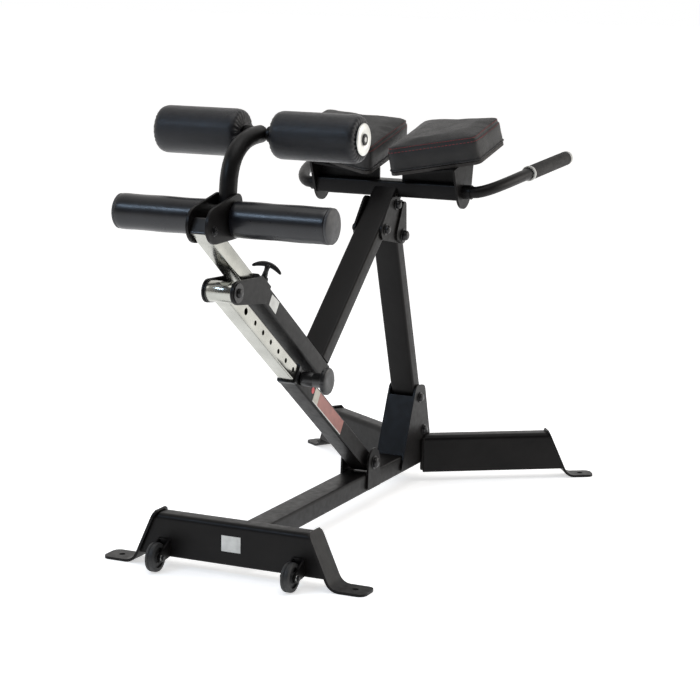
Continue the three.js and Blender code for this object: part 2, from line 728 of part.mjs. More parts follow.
/** A sloping plate just under one board. */
function flangePlate(side, front, rear, near, far, thickness) {
  const points = [];
  for (const drop of [0, thickness]) {
    for (const [x, y] of [[front, near], [rear, near], [rear, far], [front, far]]) {
      points.push(new THREE.Vector3(x, side * y, underBoard(x, y) - drop));
    }
  }
  const geometry = new THREE.BufferGeometry().setFromPoints(points);
  geometry.setIndex([
    0, 1, 2, 0, 2, 3, 4, 6, 5, 4, 7, 6, 0, 4, 5, 0, 5, 1, 1, 5, 6, 1, 6, 2, 2, 6, 7, 2, 7, 3,
    3, 7, 4, 3, 4, 0,
  ]);
  return geometry;
}

/** Corner points of one handle: socket, bend and straight grip run. */
function handleRun(side) {
  const at = (x, y, z) => new THREE.Vector3(x, side * y, z);
  const start = at(CROSS_TUBE.x, 135, CROSS_TUBE.z);
  const bendFrom = at(CROSS_TUBE.x, 212, CROSS_TUBE.z);
  const bendTo = at(437, 283, 788);
  const end = at(688, 298.5, 808.6);
  const aim = [at(CROSS_TUBE.x, 244, CROSS_TUBE.z), at(343, 277.2, 780.3)];
  const bend = new THREE.CubicBezierCurve3(bendFrom, ...aim, bendTo);
  return { start, bend: bend.getPoints(9), bendTo, end };
}

function handle(side) {
  const { start, bend, end } = handleRun(side);
  return sweptRound([start, ...bend, end], HANDLE.radius, HANDLE.radius - HANDLE.wall, 8);
}

function grip(side) {
  const { bendTo, end } = handleRun(side);
  const at = (share) => bendTo.clone().lerp(end, share);
  const bore = HANDLE.radius + 0.45;
  return sweptRound([at(GRIP.from), at(GRIP.to)], GRIP.radius, bore, 10);
}

/** Turns a piece drawn as [radius, distance from the arm's axis] onto the arm's top. */
function onArmTop(profile, segments = 16) {
  const points = profile.map(([radius, out]) => new THREE.Vector2(radius, out));
  return new THREE.LatheGeometry(points, segments).translate(0, 0, ARM_PIN_AT).applyMatrix4(armFrame);
}

function armPinHousing() {
  const face = ARM.depth / 2 + GAP;
  return onArmTop([
    [4.5, face], [12.5, face], [12.5, 27], [9.6, 52.5], [4.5, 52.5], [4.5, 50], [7, 50], [7, 28],
    [4.5, 28], [4.5, face],
  ]);
}

/** Pin, collar, hub and crescent pull bar. */
function armPin() {
  const stem = onArmTop([
    [0, 20], [3.2, 20], [4, 21.5], [4, 28.4], [6.3, 28.4], [6.3, 30.6], [4, 30.6], [4, 54], [7, 56],
    [8, 72], [7.5, 90], [0, 91],
  ]);
  const half = 31;
  const top = [[-half, 74], [-22, 84], [-9, 90.5], [9, 90.5], [22, 84], [half, 74]];
  const under = [[half - 3, 69], [20, 74], [8, 79], [-8, 79], [-20, 74], [-half + 3, 69]];
  const bar = extruded(shapeOf([...top, ...under].reverse()), 12)
    .translate(0, 0, -6)
    .rotateY(rad(30))
    .translate(0, 0, ARM_PIN_AT)
    .applyMatrix4(armFrame);
  return joined(stem, bar);
}

function armPinSpring() {
  return coilSpring(5.3, 0.7, 4.2, 2)
    .rotateX(-Math.PI / 2)
    .translate(0, 31.6, ARM_PIN_AT)
    .applyMatrix4(armFrame);
}

// ---------------------------------------------------------------- sliding leg and rollers
function legTube() {
  const section = tubeSection(INNER_TUBE.size, INNER_TUBE.size, INNER_TUBE.wall, INNER_TUBE.corner);
  const holes = Array.from({ length: LEG_HOLES.count }, (_, i) =>
    armDrill(LEG_HOLES.first + i * LEG_HOLES.pitch, LEG_HOLES.radius, 12, 24)
  );
  return cut(memberTube(armFrame, section, LEG_TUBE.top, LEG_TUBE.bottom), ...holes);
}

/** Side plates clasping the leg's end, closed behind it, with room for the ankle axle and the neck's foot. */
function rollerBracket() {
  const circles = [
    { x: -660, z: 770, r: 37.5 },
    { x: ANKLE.x, z: ANKLE.z, r: 41 },
    { x: -565.5, z: 808, r: 19 },
  ];
  const shell = sidePlate(beltOutline(circles, 32), -25.4, 25.4);
  const pocket = sidePlate(beltOutline(circles.map(({ x, z, r }) => ({ x, z, r: r - 5 }))), -19.5, 19.5);
  const legSlot = memberBox(armFrame, 19.4, -90, 19.4, LEG_TUBE.top - 60, -60);
  const neckOpening = box(-720, -530, -19.5, 19.5, 789, 860);
  return cut(shell, pocket, legSlot, neckOpening, barAcross(ANKLE, 12.9, -60, 60, 24));
}

function ankleAxle() {
  return barAcross(ANKLE, 12.4, -ANKLE.outer - 5, ANKLE.outer + 5, 24);
}

/** A tubular foam roller with rounded shoulders. */
function roller({ x, z, radius, inner, outer }, side, bore, shoulder) {
  const arc = [0, 0.25, 0.5, 0.75, 1].map((t) => [Math.cos((t * Math.PI) / 2), Math.sin((t * Math.PI) / 2)]);
  const innerEnd = arc.map(([c, s]) => [radius - shoulder * (1 - s), inner + shoulder * (1 - c)]);
  const outerEnd = arc.map(([c, s]) => [radius - shoulder * (1 - c), outer - shoulder * (1 - s)]);
  const profile = [[bore, inner], ...innerEnd, ...outerEnd, [bore, outer], [bore, inner]];
  const turned = turnedAcross({ x, z }, profile, 26);
  return side > 0 ? turned : turned.scale(1, -1, 1);
}

function neckTube() {
  const place = ([x, z]) => new THREE.Vector3(x, 0, z);
  const through = [
    [-566, 800], [-563, 827], [-557, 864], [-541, 895], [-507.5, 921], [-462, 934], [SHIN.x, SHIN.z],
  ];
  const curve = new THREE.CatmullRomCurve3(through.map(place), false, 'centripetal');
  const tube = sweptRound(curve.getPoints(14), 19.05, 16.3, 8);
  return cut(tube, barAcross(SHIN, 12.5, -60, 60, 24), box(SHIN.x, SHIN.x + 60, -60, 60, 850, 1000));
}

function shinAxle() {
  const [shaft, collar, end] = [12, 17, SHIN.outer + 5];
  return turnedAcross(SHIN, [
    [0, -end], [shaft, -end], [shaft, -34], [collar, -34], [collar, -20], [shaft, -20],
    [shaft, 20], [collar, 20], [collar, 34], [shaft, 34], [shaft, end], [0, end],
  ]);
}

// ---------------------------------------------------------------- assembly
add('main_beam', mainBeam(), PAINT);
add('front_stabilizer', frontStabilizer(), PAINT);
add('upright_post', uprightPost(), PAINT);
add('upright_gusset', uprightGusset(), PAINT);
add('gusset_bolt_upper', throughBolt(uprightBoltUpper, plateFar, 6, 10, 9), DARK_STEEL);
add('gusset_bolt_lower', throughBolt(uprightBoltLower, plateFar, 6, 10, 9), DARK_STEEL);
add('pivot_bolt', throughBolt(TILT_PIVOT, plateFar + PLATE, 8, 12.5, 14), DARK_STEEL);
add('prop_hinge_bolt', propHingeBolt(), DARK_STEEL);
add('prop_outer_tube', propOuterTube(), PAINT);
add('prop_collar', propCollar(), PLASTIC);
add('prop_pin_housing', propPinHousing(), PAINT);
add('prop_pin', propPin(), PLASTIC);
add('prop_pin_spring', propPinSpring(), ZINC);
add('prop_inner_tube', propInnerTube(), CHROME);
add('prop_barrel', propBarrel(), CHROME);
add('diagonal_tube', diagonalTube(), PAINT);
add('arm_tube', armTube(), PAINT);
add('arm_bushing', armBushing(), PLASTIC);
add('carriage_bolt', throughBolt(BARREL, plateFar, 6, 10, 9), DARK_STEEL);
add('tilt_bolt_upper', throughBolt(tiltBoltUpper, plateFar, 6, 10, 12), DARK_STEEL);
add('tilt_bolt_lower', throughBolt(tiltBoltLower, plateFar, 6, 10, 12), DARK_STEEL);
add('pad_cross_tube', padCrossTube(), PAINT);
add('arm_pin_housing', armPinHousing(), PAINT);
add('arm_pin', armPin(), PLASTIC);
add('arm_pin_spring', armPinSpring(), ZINC);
add('leg_tube', legTube(), CHROME);
add('roller_bracket', rollerBracket(), PAINT);
add('lower_axle', ankleAxle(), PAINT);
add('neck_tube', neckTube(), PAINT);
add('upper_axle', shinAxle(), PAINT);

for (const [hand, side] of Object.entries(SIDE)) {
  add(`front_foot_${hand}`, frontFoot(side), PAINT);
  add(`rear_leg_${hand}`, rearLeg(side), PAINT);
  add(`rear_foot_${hand}`, rearFoot(side), PAINT);
  add(`wheel_bracket_${hand}`, wheelBracket(side), PAINT);
  add(`wheel_${hand}`, wheel(side), RUBBER);
  add(`wheel_axle_${hand}`, wheelAxle(side), ZINC);
  add(`prop_bracket_${hand}`, propBracket(side), PAINT);
  add(`carriage_plate_${hand}`, carriagePlate(side), PAINT);
  add(`tilt_plate_${hand}`, tiltPlate(side), PAINT);
  add(`pad_${hand}`, padCushion(side), LEATHER);
  add(`pad_board_${hand}`, padBoard(side), PLYWOOD);
  add(`handle_${hand}`, handle(side), PAINT);
  add(`grip_${hand}`, grip(side), RUBBER);
  add(`lower_roller_${hand}`, roller(ANKLE, side, 13.3, 5), FOAM);
  add(`upper_roller_${hand}`, roller(SHIN, side, 12.9, 16), FOAM);
}

export default group;
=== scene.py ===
"""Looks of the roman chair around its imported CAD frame. Metres, +Z up, +X toward the hand grips."""

import json
import math
import random

import bmesh
import bpy
from mathutils import Matrix, Vector
from mathutils.kdtree import KDTree


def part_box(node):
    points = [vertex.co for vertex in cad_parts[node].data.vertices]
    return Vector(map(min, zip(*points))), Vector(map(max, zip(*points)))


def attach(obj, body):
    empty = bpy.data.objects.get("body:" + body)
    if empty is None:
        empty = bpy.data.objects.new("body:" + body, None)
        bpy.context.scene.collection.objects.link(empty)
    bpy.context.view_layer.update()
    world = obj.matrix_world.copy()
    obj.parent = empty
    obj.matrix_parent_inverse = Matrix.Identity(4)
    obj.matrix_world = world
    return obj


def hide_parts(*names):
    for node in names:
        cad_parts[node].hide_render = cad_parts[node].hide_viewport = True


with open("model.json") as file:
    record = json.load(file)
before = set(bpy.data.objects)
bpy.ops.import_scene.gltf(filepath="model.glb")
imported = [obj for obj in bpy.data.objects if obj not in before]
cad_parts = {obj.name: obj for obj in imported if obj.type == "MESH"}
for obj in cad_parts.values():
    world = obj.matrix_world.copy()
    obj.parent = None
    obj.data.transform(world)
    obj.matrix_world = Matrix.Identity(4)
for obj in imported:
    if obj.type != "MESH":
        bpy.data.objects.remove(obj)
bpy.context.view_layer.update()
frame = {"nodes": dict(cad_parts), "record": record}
NODES = frame["nodes"]
SIDES = (("left", 1), ("right", -1))


# ---------------------------------------------------------------- camera
def make_camera():
    yaw, pitch, roll = math.radians(24.8), math.radians(10.84), math.radians(0.81)
    forward = Vector((math.cos(yaw) * math.cos(pitch), math.sin(yaw) * math.cos(pitch), -math.sin(pitch)))
    right = Vector((math.sin(yaw), -math.cos(yaw), 0))
    up = right.cross(forward)
    turned_right = math.cos(roll) * right + math.sin(roll) * up
    turned_up = math.cos(roll) * up - math.sin(roll) * right
    data = bpy.data.cameras.new("camera")
    data.lens = 110.47
    data.sensor_width = 36
    data.clip_end = 60
    camera = bpy.data.objects.new("camera", data)
    bpy.context.scene.collection.objects.link(camera)
    rotation = Matrix((turned_right, turned_up, -forward)).transposed().to_4x4()
    camera.matrix_world = Matrix.Translation((-4.4545, -2.080, 1.344)) @ rotation
    bpy.context.scene.camera = camera


make_camera()


# ---------------------------------------------------------------- materials
class Nodes:
    """Short way to build a material's node tree."""

    def __init__(self, name):
        self.material = bpy.data.materials.new(name)
        self.material.use_nodes = True
        self.tree = self.material.node_tree
        self.shader = self.tree.nodes["Principled BSDF"]
        self.place = self.add("ShaderNodeTexCoord").outputs["Object"]

    def add(self, kind, inputs=None, **settings):
        node = self.tree.nodes.new(kind)
        for key, value in settings.items():
            setattr(node, key, value)
        for key, value in (inputs or {}).items():
            if isinstance(value, bpy.types.NodeSocket):
                self.tree.links.new(value, node.inputs[key])
            else:
                node.inputs[key].default_value = value
        return node

    def set(self, **values):
        for key, value in values.items():
            socket = self.shader.inputs[key.replace("_", " ")]
            if isinstance(value, bpy.types.NodeSocket):
                self.tree.links.new(value, socket)
            else:
                socket.default_value = value

    def noise(self, scale, detail=3.0, roughness=0.55, place=None):
        inputs = {"Vector": place or self.place, "Scale": scale, "Detail": detail, "Roughness": roughness}
        return self.add("ShaderNodeTexNoise", inputs).outputs["Fac"]

    def ramp(self, factor, stops):
        node = self.add("ShaderNodeValToRGB", {"Fac": factor})
        elements = node.color_ramp.elements
        while len(elements) < len(stops):
            elements.new(0.5)
        for element, (position, color) in zip(elements, stops):
            element.position = position
            element.color = (*color, 1)
        return node.outputs["Color"]

    def spread(self, factor, low, high):
        inputs = {"Value": factor, "From Min": 0.3, "From Max": 0.7, "To Min": low, "To Max": high}
        return self.add("ShaderNodeMapRange", inputs).outputs["Result"]

    def sum(self, a, b, share=0.5):
        scaled = self.add("ShaderNodeMath", {0: b, 1: share}, operation="MULTIPLY").outputs[0]
        return self.add("ShaderNodeMath", {0: a, 1: scaled}, operation="ADD").outputs[0]

    def bump(self, height, distance, strength=0.6):
        inputs = {"Height": height, "Distance": distance, "Strength": strength}
        self.set(Normal=self.add("ShaderNodeBump", inputs).outputs["Normal"])


def powder_coat(name, dark, light, rough=(0.34, 0.46)):
    """Semi-gloss black powder coat with a fine orange-peel surface."""
    n = Nodes(name)
    n.set(Base_Color=n.ramp(n.noise(9, 5), [(0.35, dark), (0.65, light)]))
    n.set(Roughness=n.spread(n.noise(60, 4), *rough), Metallic=0.0, Specular_IOR_Level=0.17)
    n.bump(n.sum(n.noise(900, 2), n.noise(260, 2), 0.6), 0.00012, 0.35)
    return n.material


def polished(name, dark, light, rough=(0.06, 0.16), scale=18, metallic=1.0):
    """Bright plated metal with faint polishing haze and dust."""
    n = Nodes(name)
    n.set(Base_Color=n.ramp(n.noise(scale, 6), [(0.3, dark), (0.7, light)]))
    stretched = n.add("ShaderNodeMapping", {"Vector": n.place, "Scale": (1, 14, 1)}).outputs["Vector"]
    n.set(Roughness=n.spread(n.noise(220, 4, place=stretched), *rough), Metallic=metallic)
    n.bump(n.noise(700, 3), 0.00004, 0.2)
    return n.material


def leather(name, dark, light, rough, grain, depth):
    """Grained upholstery: small cells with fine creases between them, the creases a little darker in colour
    as painted shade.
    """
    n = Nodes(name)
    warp = n.add("ShaderNodeTexNoise", {"Vector": n.place, "Scale": 60.0, "Detail": 2.0}).outputs["Color"]
    mixed = n.add("ShaderNodeMix", {0: 0.012, 4: n.place, 5: warp}, data_type="VECTOR")
    bent = mixed.outputs[1]
    cells = n.add("ShaderNodeTexVoronoi", {"Vector": bent, "Scale": grain}, feature="DISTANCE_TO_EDGE")
    edge = {"Value": cells.outputs["Distance"], "From Min": 0.0, "From Max": 0.16}
    crease = n.add("ShaderNodeMapRange", edge).outputs["Result"]
    height = n.sum(crease, n.noise(grain * 0.12, 4), 0.8)
    # base colour a little darker along the grain creases: painted shade in the creases
    n.set(Base_Color=n.ramp(n.sum(n.noise(14, 5), crease, 0.08), [(0.4, dark), (0.75, light)]))
    n.set(Roughness=n.spread(n.noise(35, 5), *rough), Specular_IOR_Level=0.38)
    n.bump(height, depth, 0.55)
    return n.material


def moulded(name, dark, light, rough, texture=600, depth=0.00008, strength=0.3):
    """Moulded plastic or rubber with a fine spark-eroded texture."""
    n = Nodes(name)
    n.set(Base_Color=n.ramp(n.noise(22, 4), [(0.35, dark), (0.7, light)]))
    n.set(Roughness=n.spread(n.noise(90, 4), *rough))
    n.bump(n.noise(texture, 3), depth, strength)
    return n.material


def stained_ply(name):
    """Black stained plywood whose layers show along the edge."""
    n = Nodes(name)
    layers = n.add("ShaderNodeTexWave", {"Vector": n.place, "Scale": 95.0, "Distortion": 1.5, "Detail": 3.0})
    layers.bands_direction = "Z"
    stain = [(0.2, (0.006, 0.005, 0.004)), (0.8, (0.018, 0.013, 0.010))]
    n.set(Base_Color=n.ramp(layers.outputs["Fac"], stain))
    n.set(Roughness=n.spread(n.noise(80, 4), 0.55, 0.75))
    n.bump(n.sum(n.noise(300, 4), layers.outputs["Fac"], 0.4), 0.00025, 0.4)
    return n.material


def label_paper(name, dark, light):
    """Blank printed film, slightly glossy."""
    n = Nodes(name)
    n.set(Base_Color=n.ramp(n.noise(40, 4), [(0.3, dark), (0.7, light)]), Roughness=0.35)
    n.bump(n.noise(400, 2), 0.00004, 0.2)
    return n.material


BLACK, SOOT = (0.0028, 0.0024, 0.0024), (0.0060, 0.0052, 0.0050)
MAT = {
    "paint": powder_coat("powder_coat", BLACK, SOOT),
    "chrome": polished("chrome_plate", (0.36, 0.36, 0.325), (0.47, 0.47, 0.43), (0.12, 0.26)),
    "black_steel": polished(
        "black_oxide", (0.010, 0.010, 0.011), (0.022, 0.021, 0.021), (0.22, 0.38), 40, 0.4
    ),
    "zinc": polished("zinc_plate", (0.42, 0.42, 0.40), (0.60, 0.60, 0.57), (0.25, 0.42), 60),
    "black_plastic": moulded("black_plastic", (0.006, 0.006, 0.007), (0.012, 0.012, 0.013), (0.28, 0.42)),
    "vinyl": leather(
        "roller_vinyl", (0.0022, 0.0028, 0.0050), (0.0048, 0.0056, 0.0086), (0.28, 0.37), 700, 0.00022
    ),
    "foam": moulded(
        "foam_skin", (0.0028, 0.0030, 0.0048), (0.0056, 0.0060, 0.0084), (0.27, 0.34), 350, 0.00008, 0.10
    ),
    "pad_leather": leather(
        "pad_leather", (0.0060, 0.0056, 0.0058), (0.0110, 0.0100, 0.0098), (0.40, 0.52), 620, 0.0003
    ),
    "plywood": stained_ply("stained_plywood"),
    "rubber": moulded(
        "grip_rubber", (0.010, 0.0095, 0.0090), (0.018, 0.017, 0.016), (0.62, 0.80), 420, 0.0002, 0.5
    ),
    "wheel_rubber": moulded(
        "wheel_rubber", (0.012, 0.012, 0.012), (0.022, 0.022, 0.022), (0.48, 0.66), 380, 0.00015, 0.4
    ),
    "end_cap": moulded(
        "foam_end", (0.030, 0.030, 0.032), (0.046, 0.046, 0.048), (0.45, 0.60), 300, 0.00015, 0.4
    ),
    "disc": polished("roller_disc", (0.62, 0.62, 0.57), (0.80, 0.80, 0.76), (0.30, 0.48), 30, 0.55),
    "thread": moulded(
        "red_thread", (0.16, 0.008, 0.012), (0.30, 0.014, 0.020), (0.55, 0.75), 1800, 0.0001, 0.6
    ),
    "label_white": label_paper("label_white", (0.50, 0.50, 0.48), (0.68, 0.68, 0.65)),
    "label_beige": label_paper("label_beige", (0.36, 0.34, 0.28), (0.50, 0.47, 0.40)),
    # the warning label's pale pinkish red is painted glare; its own deep red is the colour of the round patch
    # below
    "label_red_painted_glare": label_paper("label_red_painted_glare", (0.23, 0.085, 0.070), (0.34, 0.125, 0.100)),
    # deep red: the warning label's own red, used where it is left without the painted glare
    "label_red_unglared": label_paper("label_red_unglared", (0.42, 0.010, 0.016), (0.55, 0.016, 0.022)),
    "light_plastic": moulded("light_plastic", (0.42, 0.42, 0.40), (0.56, 0.56, 0.53), (0.30, 0.45)),
    "weld": powder_coat("weld_bead", (0.008, 0.008, 0.008), (0.020, 0.019, 0.018), (0.30, 0.5)),
}
SLOT_OF = {row["node"]: row["material_slot"] for row in frame["record"]["subparts"]}


# ---------------------------------------------------------------- carried-over CAD nodes
def dress_node(name, obj):
    obj.data.materials.clear()
    obj.data.materials.append(MAT[SLOT_OF[name]])
    obj.data.polygons.foreach_set("material_index", [0] * len(obj.data.polygons))
    if obj.data.has_custom_normals:
        with bpy.context.temp_override(object=obj, active_object=obj, selected_objects=[obj]):
            bpy.ops.mesh.customdata_custom_splitnormals_clear()
    obj.data.polygons.foreach_set("use_smooth", [True] * len(obj.data.polygons))
    weld = obj.modifiers.new("weld", "WELD")
    weld.merge_threshold = 2e-5
    bevel = obj.modifiers.new("bevel", "BEVEL")
    bevel.width = 0.0007
    bevel.segments = 2
    bevel.limit_method = "ANGLE"
    bevel.angle_limit = math.radians(40)
    bevel.use_clamp_overlap = True
    bevel.harden_normals = True
    bevel.miter_outer = "MITER_ARC"


for node_name, node_object in NODES.items():
    dress_node(node_name, node_object)


# ---------------------------------------------------------------- piece tools
def make_piece(name, mesh, material, body, smooth=True):
    obj = bpy.data.objects.new(name, mesh)
    bpy.context.scene.collection.objects.link(obj)
    mesh.materials.clear()
    mesh.materials.append(material)
    if smooth:
        mesh.polygons.foreach_set("use_smooth", [True] * len(mesh.polygons))
    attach(obj, body)
    return obj


def mesh_from(name, verts, faces):
    mesh = bpy.data.meshes.new(name)
    mesh.from_pydata([tuple(v) for v in verts], [], faces)
    mesh.validate()
    bm = bmesh.new()
    bm.from_mesh(mesh)
    bmesh.ops.recalc_face_normals(bm, faces=bm.faces)
    bm.to_mesh(mesh)
    bm.free()
    return mesh


def axes_along(direction):
    """Two unit vectors square to a direction."""
    d = Vector(direction).normalized()
    helper = Vector((0, 0, 1)) if abs(d.z) < 0.9 else Vector((1, 0, 0))
    u = helper.cross(d).normalized()
    return u, d.cross(u)


def turned(name, centre, direction, profile, segments=64, wobble=None):
    """A turned piece: profile is [(radius, distance along direction)], from axis to axis or a closed ring."""
    centre, d = Vector(centre), Vector(direction).normalized()
    u, v = axes_along(d)
    ring = abs(profile[0][0]) > 1e-9
    verts, rows = [], []
    for r, t in profile:
        if abs(r) < 1e-9:
            verts.append(centre + d * t)
            rows.append([len(verts) - 1] * segments)
            continue
        row = []
        for i in range(segments):
            a = 2 * math.pi * i / segments
            radius = r + (wobble(r, t, a) if wobble else 0)
            verts.append(centre + d * t + (u * math.cos(a) + v * math.sin(a)) * radius)
            row.append(len(verts) - 1)
        rows.append(row)
    faces = []
    pairs = list(zip(rows, rows[1:])) + ([(rows[-1], rows[0])] if ring else [])
    for low, high in pairs:
        for i in range(segments):
            j = (i + 1) % segments
            corner = list(dict.fromkeys([low[i], low[j], high[j], high[i]]))
            if len(corner) > 2:
                faces.append(corner)
    return mesh_from(name, verts, faces)


def swept(name, path, radius, segments=10, closed=False):
    """A round cord along points, closed on itself or with flat ends; radius may differ at each point."""
    count = len(path)
    radii = radius if isinstance(radius, list) else [radius] * count
    verts, faces = [], []
    u = None
    for i, p in enumerate(path):
        before = path[(i - 1) % count] if closed or i else p
        after = path[(i + 1) % count] if closed or i < count - 1 else p
        d = (after - before).normalized()
        if u is None:
            u = axes_along(d)[0]
        u = (u - d * u.dot(d)).normalized()
        v = d.cross(u)
        for k in range(segments):
            a = 2 * math.pi * k / segments
            verts.append(p + (u * math.cos(a) + v * math.sin(a)) * radii[i])
    last = count if closed else count - 1
    for i in range(last):
        j = (i + 1) % count
        for k in range(segments):
            m = (k + 1) % segments
            faces.append([i * segments + k, i * segments + m, j * segments + m, j * segments + k])
    if not closed:
        faces.append(list(range(segments))[::-1])
        faces.append([(count - 1) * segments + k for k in range(segments)])
    return mesh_from(name, verts, faces)


def joined_mesh(name, meshes):
    bm = bmesh.new()
    for mesh in meshes:
        bm.from_mesh(mesh)
        bpy.data.meshes.remove(mesh)
    result = bpy.data.meshes.new(name)
    bm.to_mesh(result)
    bm.free()
    return result


def with_modifier(obj, kind, **settings):
    modifier = obj.modifiers.new(kind.lower(), kind)
    for key, value in settings.items():
        setattr(modifier, key, value)
    return modifier


def applied(obj):
    """Replaces an object's mesh by its evaluated mesh."""
    graph = bpy.context.evaluated_depsgraph_get()
    mesh = bpy.data.meshes.new_from_object(obj.evaluated_get(graph))
    old = obj.data
    obj.modifiers.clear()
    obj.data = mesh
    bpy.data.meshes.remove(old)
    return mesh


# ---------------------------------------------------------------- soft goods
def puffed(name, node, shrink, pinned, voxel=0.005, pressure=4.0, cap=0.006, settle=4):
    """A copy of a CAD solid, remeshed and swelled by a short cloth simulation; pinned vertices stay."""
    obj = bpy.data.objects.new(name, NODES[node].data.copy())
    bpy.context.scene.collection.objects.link(obj)
    with_modifier(obj, "REMESH", mode="VOXEL", voxel_size=voxel, adaptivity=0.0)
    applied(obj)
    with_modifier(obj, "SMOOTH", factor=0.5, iterations=3)
    applied(obj)
    if shrink:
        normals = [v.normal.copy() for v in obj.data.vertices]
        for vertex, normal in zip(obj.data.vertices, normals):
            if not pinned(vertex.co):
                vertex.co -= normal * shrink
    start = [v.co.copy() for v in obj.data.vertices]
    group = obj.vertex_groups.new(name="pin")
    group.add([v.index for v in obj.data.vertices if pinned(v.co)], 1.0, "REPLACE")
    cloth = obj.modifiers.new("cloth", "CLOTH")
    cloth.settings.quality = 5
    cloth.settings.tension_stiffness = 60
    cloth.settings.compression_stiffness = 60
    cloth.settings.shear_stiffness = 30
    cloth.settings.bending_stiffness = 25
    cloth.settings.use_pressure = True
    cloth.settings.uniform_pressure_force = pressure
    cloth.settings.vertex_group_mass = "pin"
    cloth.settings.effector_weights.gravity = 0
    cloth.collision_settings.use_collision = False
    cloth.point_cache.frame_start = 1
    cloth.point_cache.frame_end = 20
    for step in range(1, 21):
        bpy.context.scene.frame_set(step)
        bpy.context.view_layer.update()
    applied(obj)
    for vertex, place in zip(obj.data.vertices, start):
        move = vertex.co - place
        if move.length > cap:
            vertex.co = place + move * (cap / move.length)
    bpy.context.scene.frame_set(1)
    loose = obj.vertex_groups.new(name="loose")
    loose.add([v.index for v in obj.data.vertices if not pinned(v.co)], 1.0, "REPLACE")
    with_modifier(obj, "SMOOTH", factor=0.5, iterations=settle, vertex_group="loose")
    applied(obj)
    with_modifier(obj, "SUBSURF", levels=1, render_levels=1)
    applied(obj)
    return obj


def hull_outline(points):
    """Convex outline of 2-D points, anticlockwise."""
    points = sorted(set((round(a, 6), round(b, 6)) for a, b in points))

    def half(sequence):
        hull = []
        for p in sequence:
            while len(hull) > 1:
                (ax, ay), (bx, by) = hull[-2], hull[-1]
                if (bx - ax) * (p[1] - ay) - (by - ay) * (p[0] - ax) > 1e-9:
                    break
                hull.pop()
            hull.append(p)
        return hull[:-1]

    return half(points) + half(points[::-1])


def spaced(outline, step):
    """Points a step apart round a closed 2-D outline, each with its outward normal."""
    corners = [Vector(p) for p in outline]
    total = sum((b - a).length for a, b in zip(corners, corners[1:] + corners[:1]))
    count = round(total / step)
    result, walked, k = [], 0.0, 0
    lengths = [(b - a).length for a, b in zip(corners, corners[1:] + corners[:1])]
    for i in range(count):
        target = i * total / count
        while walked + lengths[k] < target:
            walked += lengths[k]
            k += 1
        a, b = corners[k], corners[(k + 1) % len(corners)]
        along = (b - a).normalized()
        result.append((a + along * (target - walked), Vector((along.y, -along.x))))
    return result


def pinch(obj, path, depth, reach):
    """Presses a seam into a soft piece along a path."""
    tree = KDTree(len(path))
    for i, p in enumerate(path):
        tree.insert(p, i)
    tree.balance()
    normals = [v.normal.copy() for v in obj.data.vertices]
    for vertex, normal in zip(obj.data.vertices, normals):
        distance = tree.find(vertex.co)[2]
        if distance < reach:
            vertex.co -= normal * depth * (1 - (distance / reach) ** 2) ** 2


STITCH_LENGTH, STITCH_GAP, THREAD_RADIUS = 0.0055, 0.0030, 0.00055


def stitches(name, path, body):
    """Short round red threads laid along a path of points."""
    step = (path[1] - path[0]).length
    run = max(2, round(STITCH_LENGTH / step))
    skip = run + max(1, round(STITCH_GAP / step))
    threads = [
        swept(name, path[i : i + run + 1], THREAD_RADIUS, 6) for i in range(0, len(path) - run, skip)
    ]
    return make_piece(name, joined_mesh(name, threads), MAT["thread"], body)


def finish_soft(obj, material, body, node):
    """Gives a soft piece its material, smooth shading and body, and hides the CAD node it stands in for."""
    obj.data.materials.clear()
    obj.data.materials.append(MAT[material])
    obj.data.polygons.foreach_set("use_smooth", [True] * len(obj.data.polygons))
    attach(obj, body)
    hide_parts(node)


PAD_PITCH, PAD_ROLL = 0.222, 0.13  # rise of the pads' tops along X and away from the middle
PAD_CROWN = 0.0045


def pad_axes(side):
    normal = Vector((-PAD_PITCH, -PAD_ROLL * side, 1)).normalized()
    along = Vector((1, 0, PAD_PITCH)).normalized()
    return along, normal.cross(along), normal


def build_pad(hand, side):
    node = f"pad_{hand}"
    along, across, normal = pad_axes(side)
    coords = [v.co for v in NODES[node].data.vertices]
    top = max(c.dot(normal) for c in coords)
    low = min(c.dot(normal) for c in coords)
    rim = hull_outline([(c.dot(along), c.dot(across)) for c in coords])
    cushion = puffed(
        f"pad_cushion_{hand}", node, 0.003, lambda co: co.dot(normal) < low + 0.006,
        cap=0.008, pressure=5.0, settle=14,
    )

    def seam(height, step=0.0022):
        """Where a ring at that height meets the cushion's side."""
        graph = bpy.context.evaluated_depsgraph_get()
        shape = cushion.evaluated_get(graph)
        path = []
        for p, outward in spaced(rim, step):
            flat_out = along * outward.x + across * outward.y
            start = along * p.x + across * p.y + normal * height + flat_out * 0.03
            hit, place, _, _ = shape.ray_cast(start, -flat_out, distance=0.08)
            path.append(place if hit else start - flat_out * 0.033)
        return path

    for vertex in cushion.data.vertices:
        height = vertex.co.dot(normal)
        if height > top + PAD_CROWN:
            vertex.co -= normal * (height - top - PAD_CROWN)
    upper = seam(top - 0.012)
    pinch(cushion, upper, 0.0022, 0.007)
    lower = seam(low + 0.006)
    pinch(cushion, lower, 0.0016, 0.006)
    finish_soft(cushion, "pad_leather", "tilt_frame", node)
    bpy.context.view_layer.update()
    for label, height in (("upper", top - 0.0075), ("side", top - 0.0165)):
        stitches(f"stitch_{label}_{hand}", seam(height, 0.0011), "tilt_frame")
    piping = swept(f"pad_piping_{hand}", seam(low + 0.0035, 0.004), 0.0021, 8, closed=True)
    make_piece(f"pad_piping_{hand}", piping, MAT["pad_leather"], "tilt_frame")


PLEATS, PLEAT_DEPTH, PLEAT_REACH = 26, 0.0017, 0.020


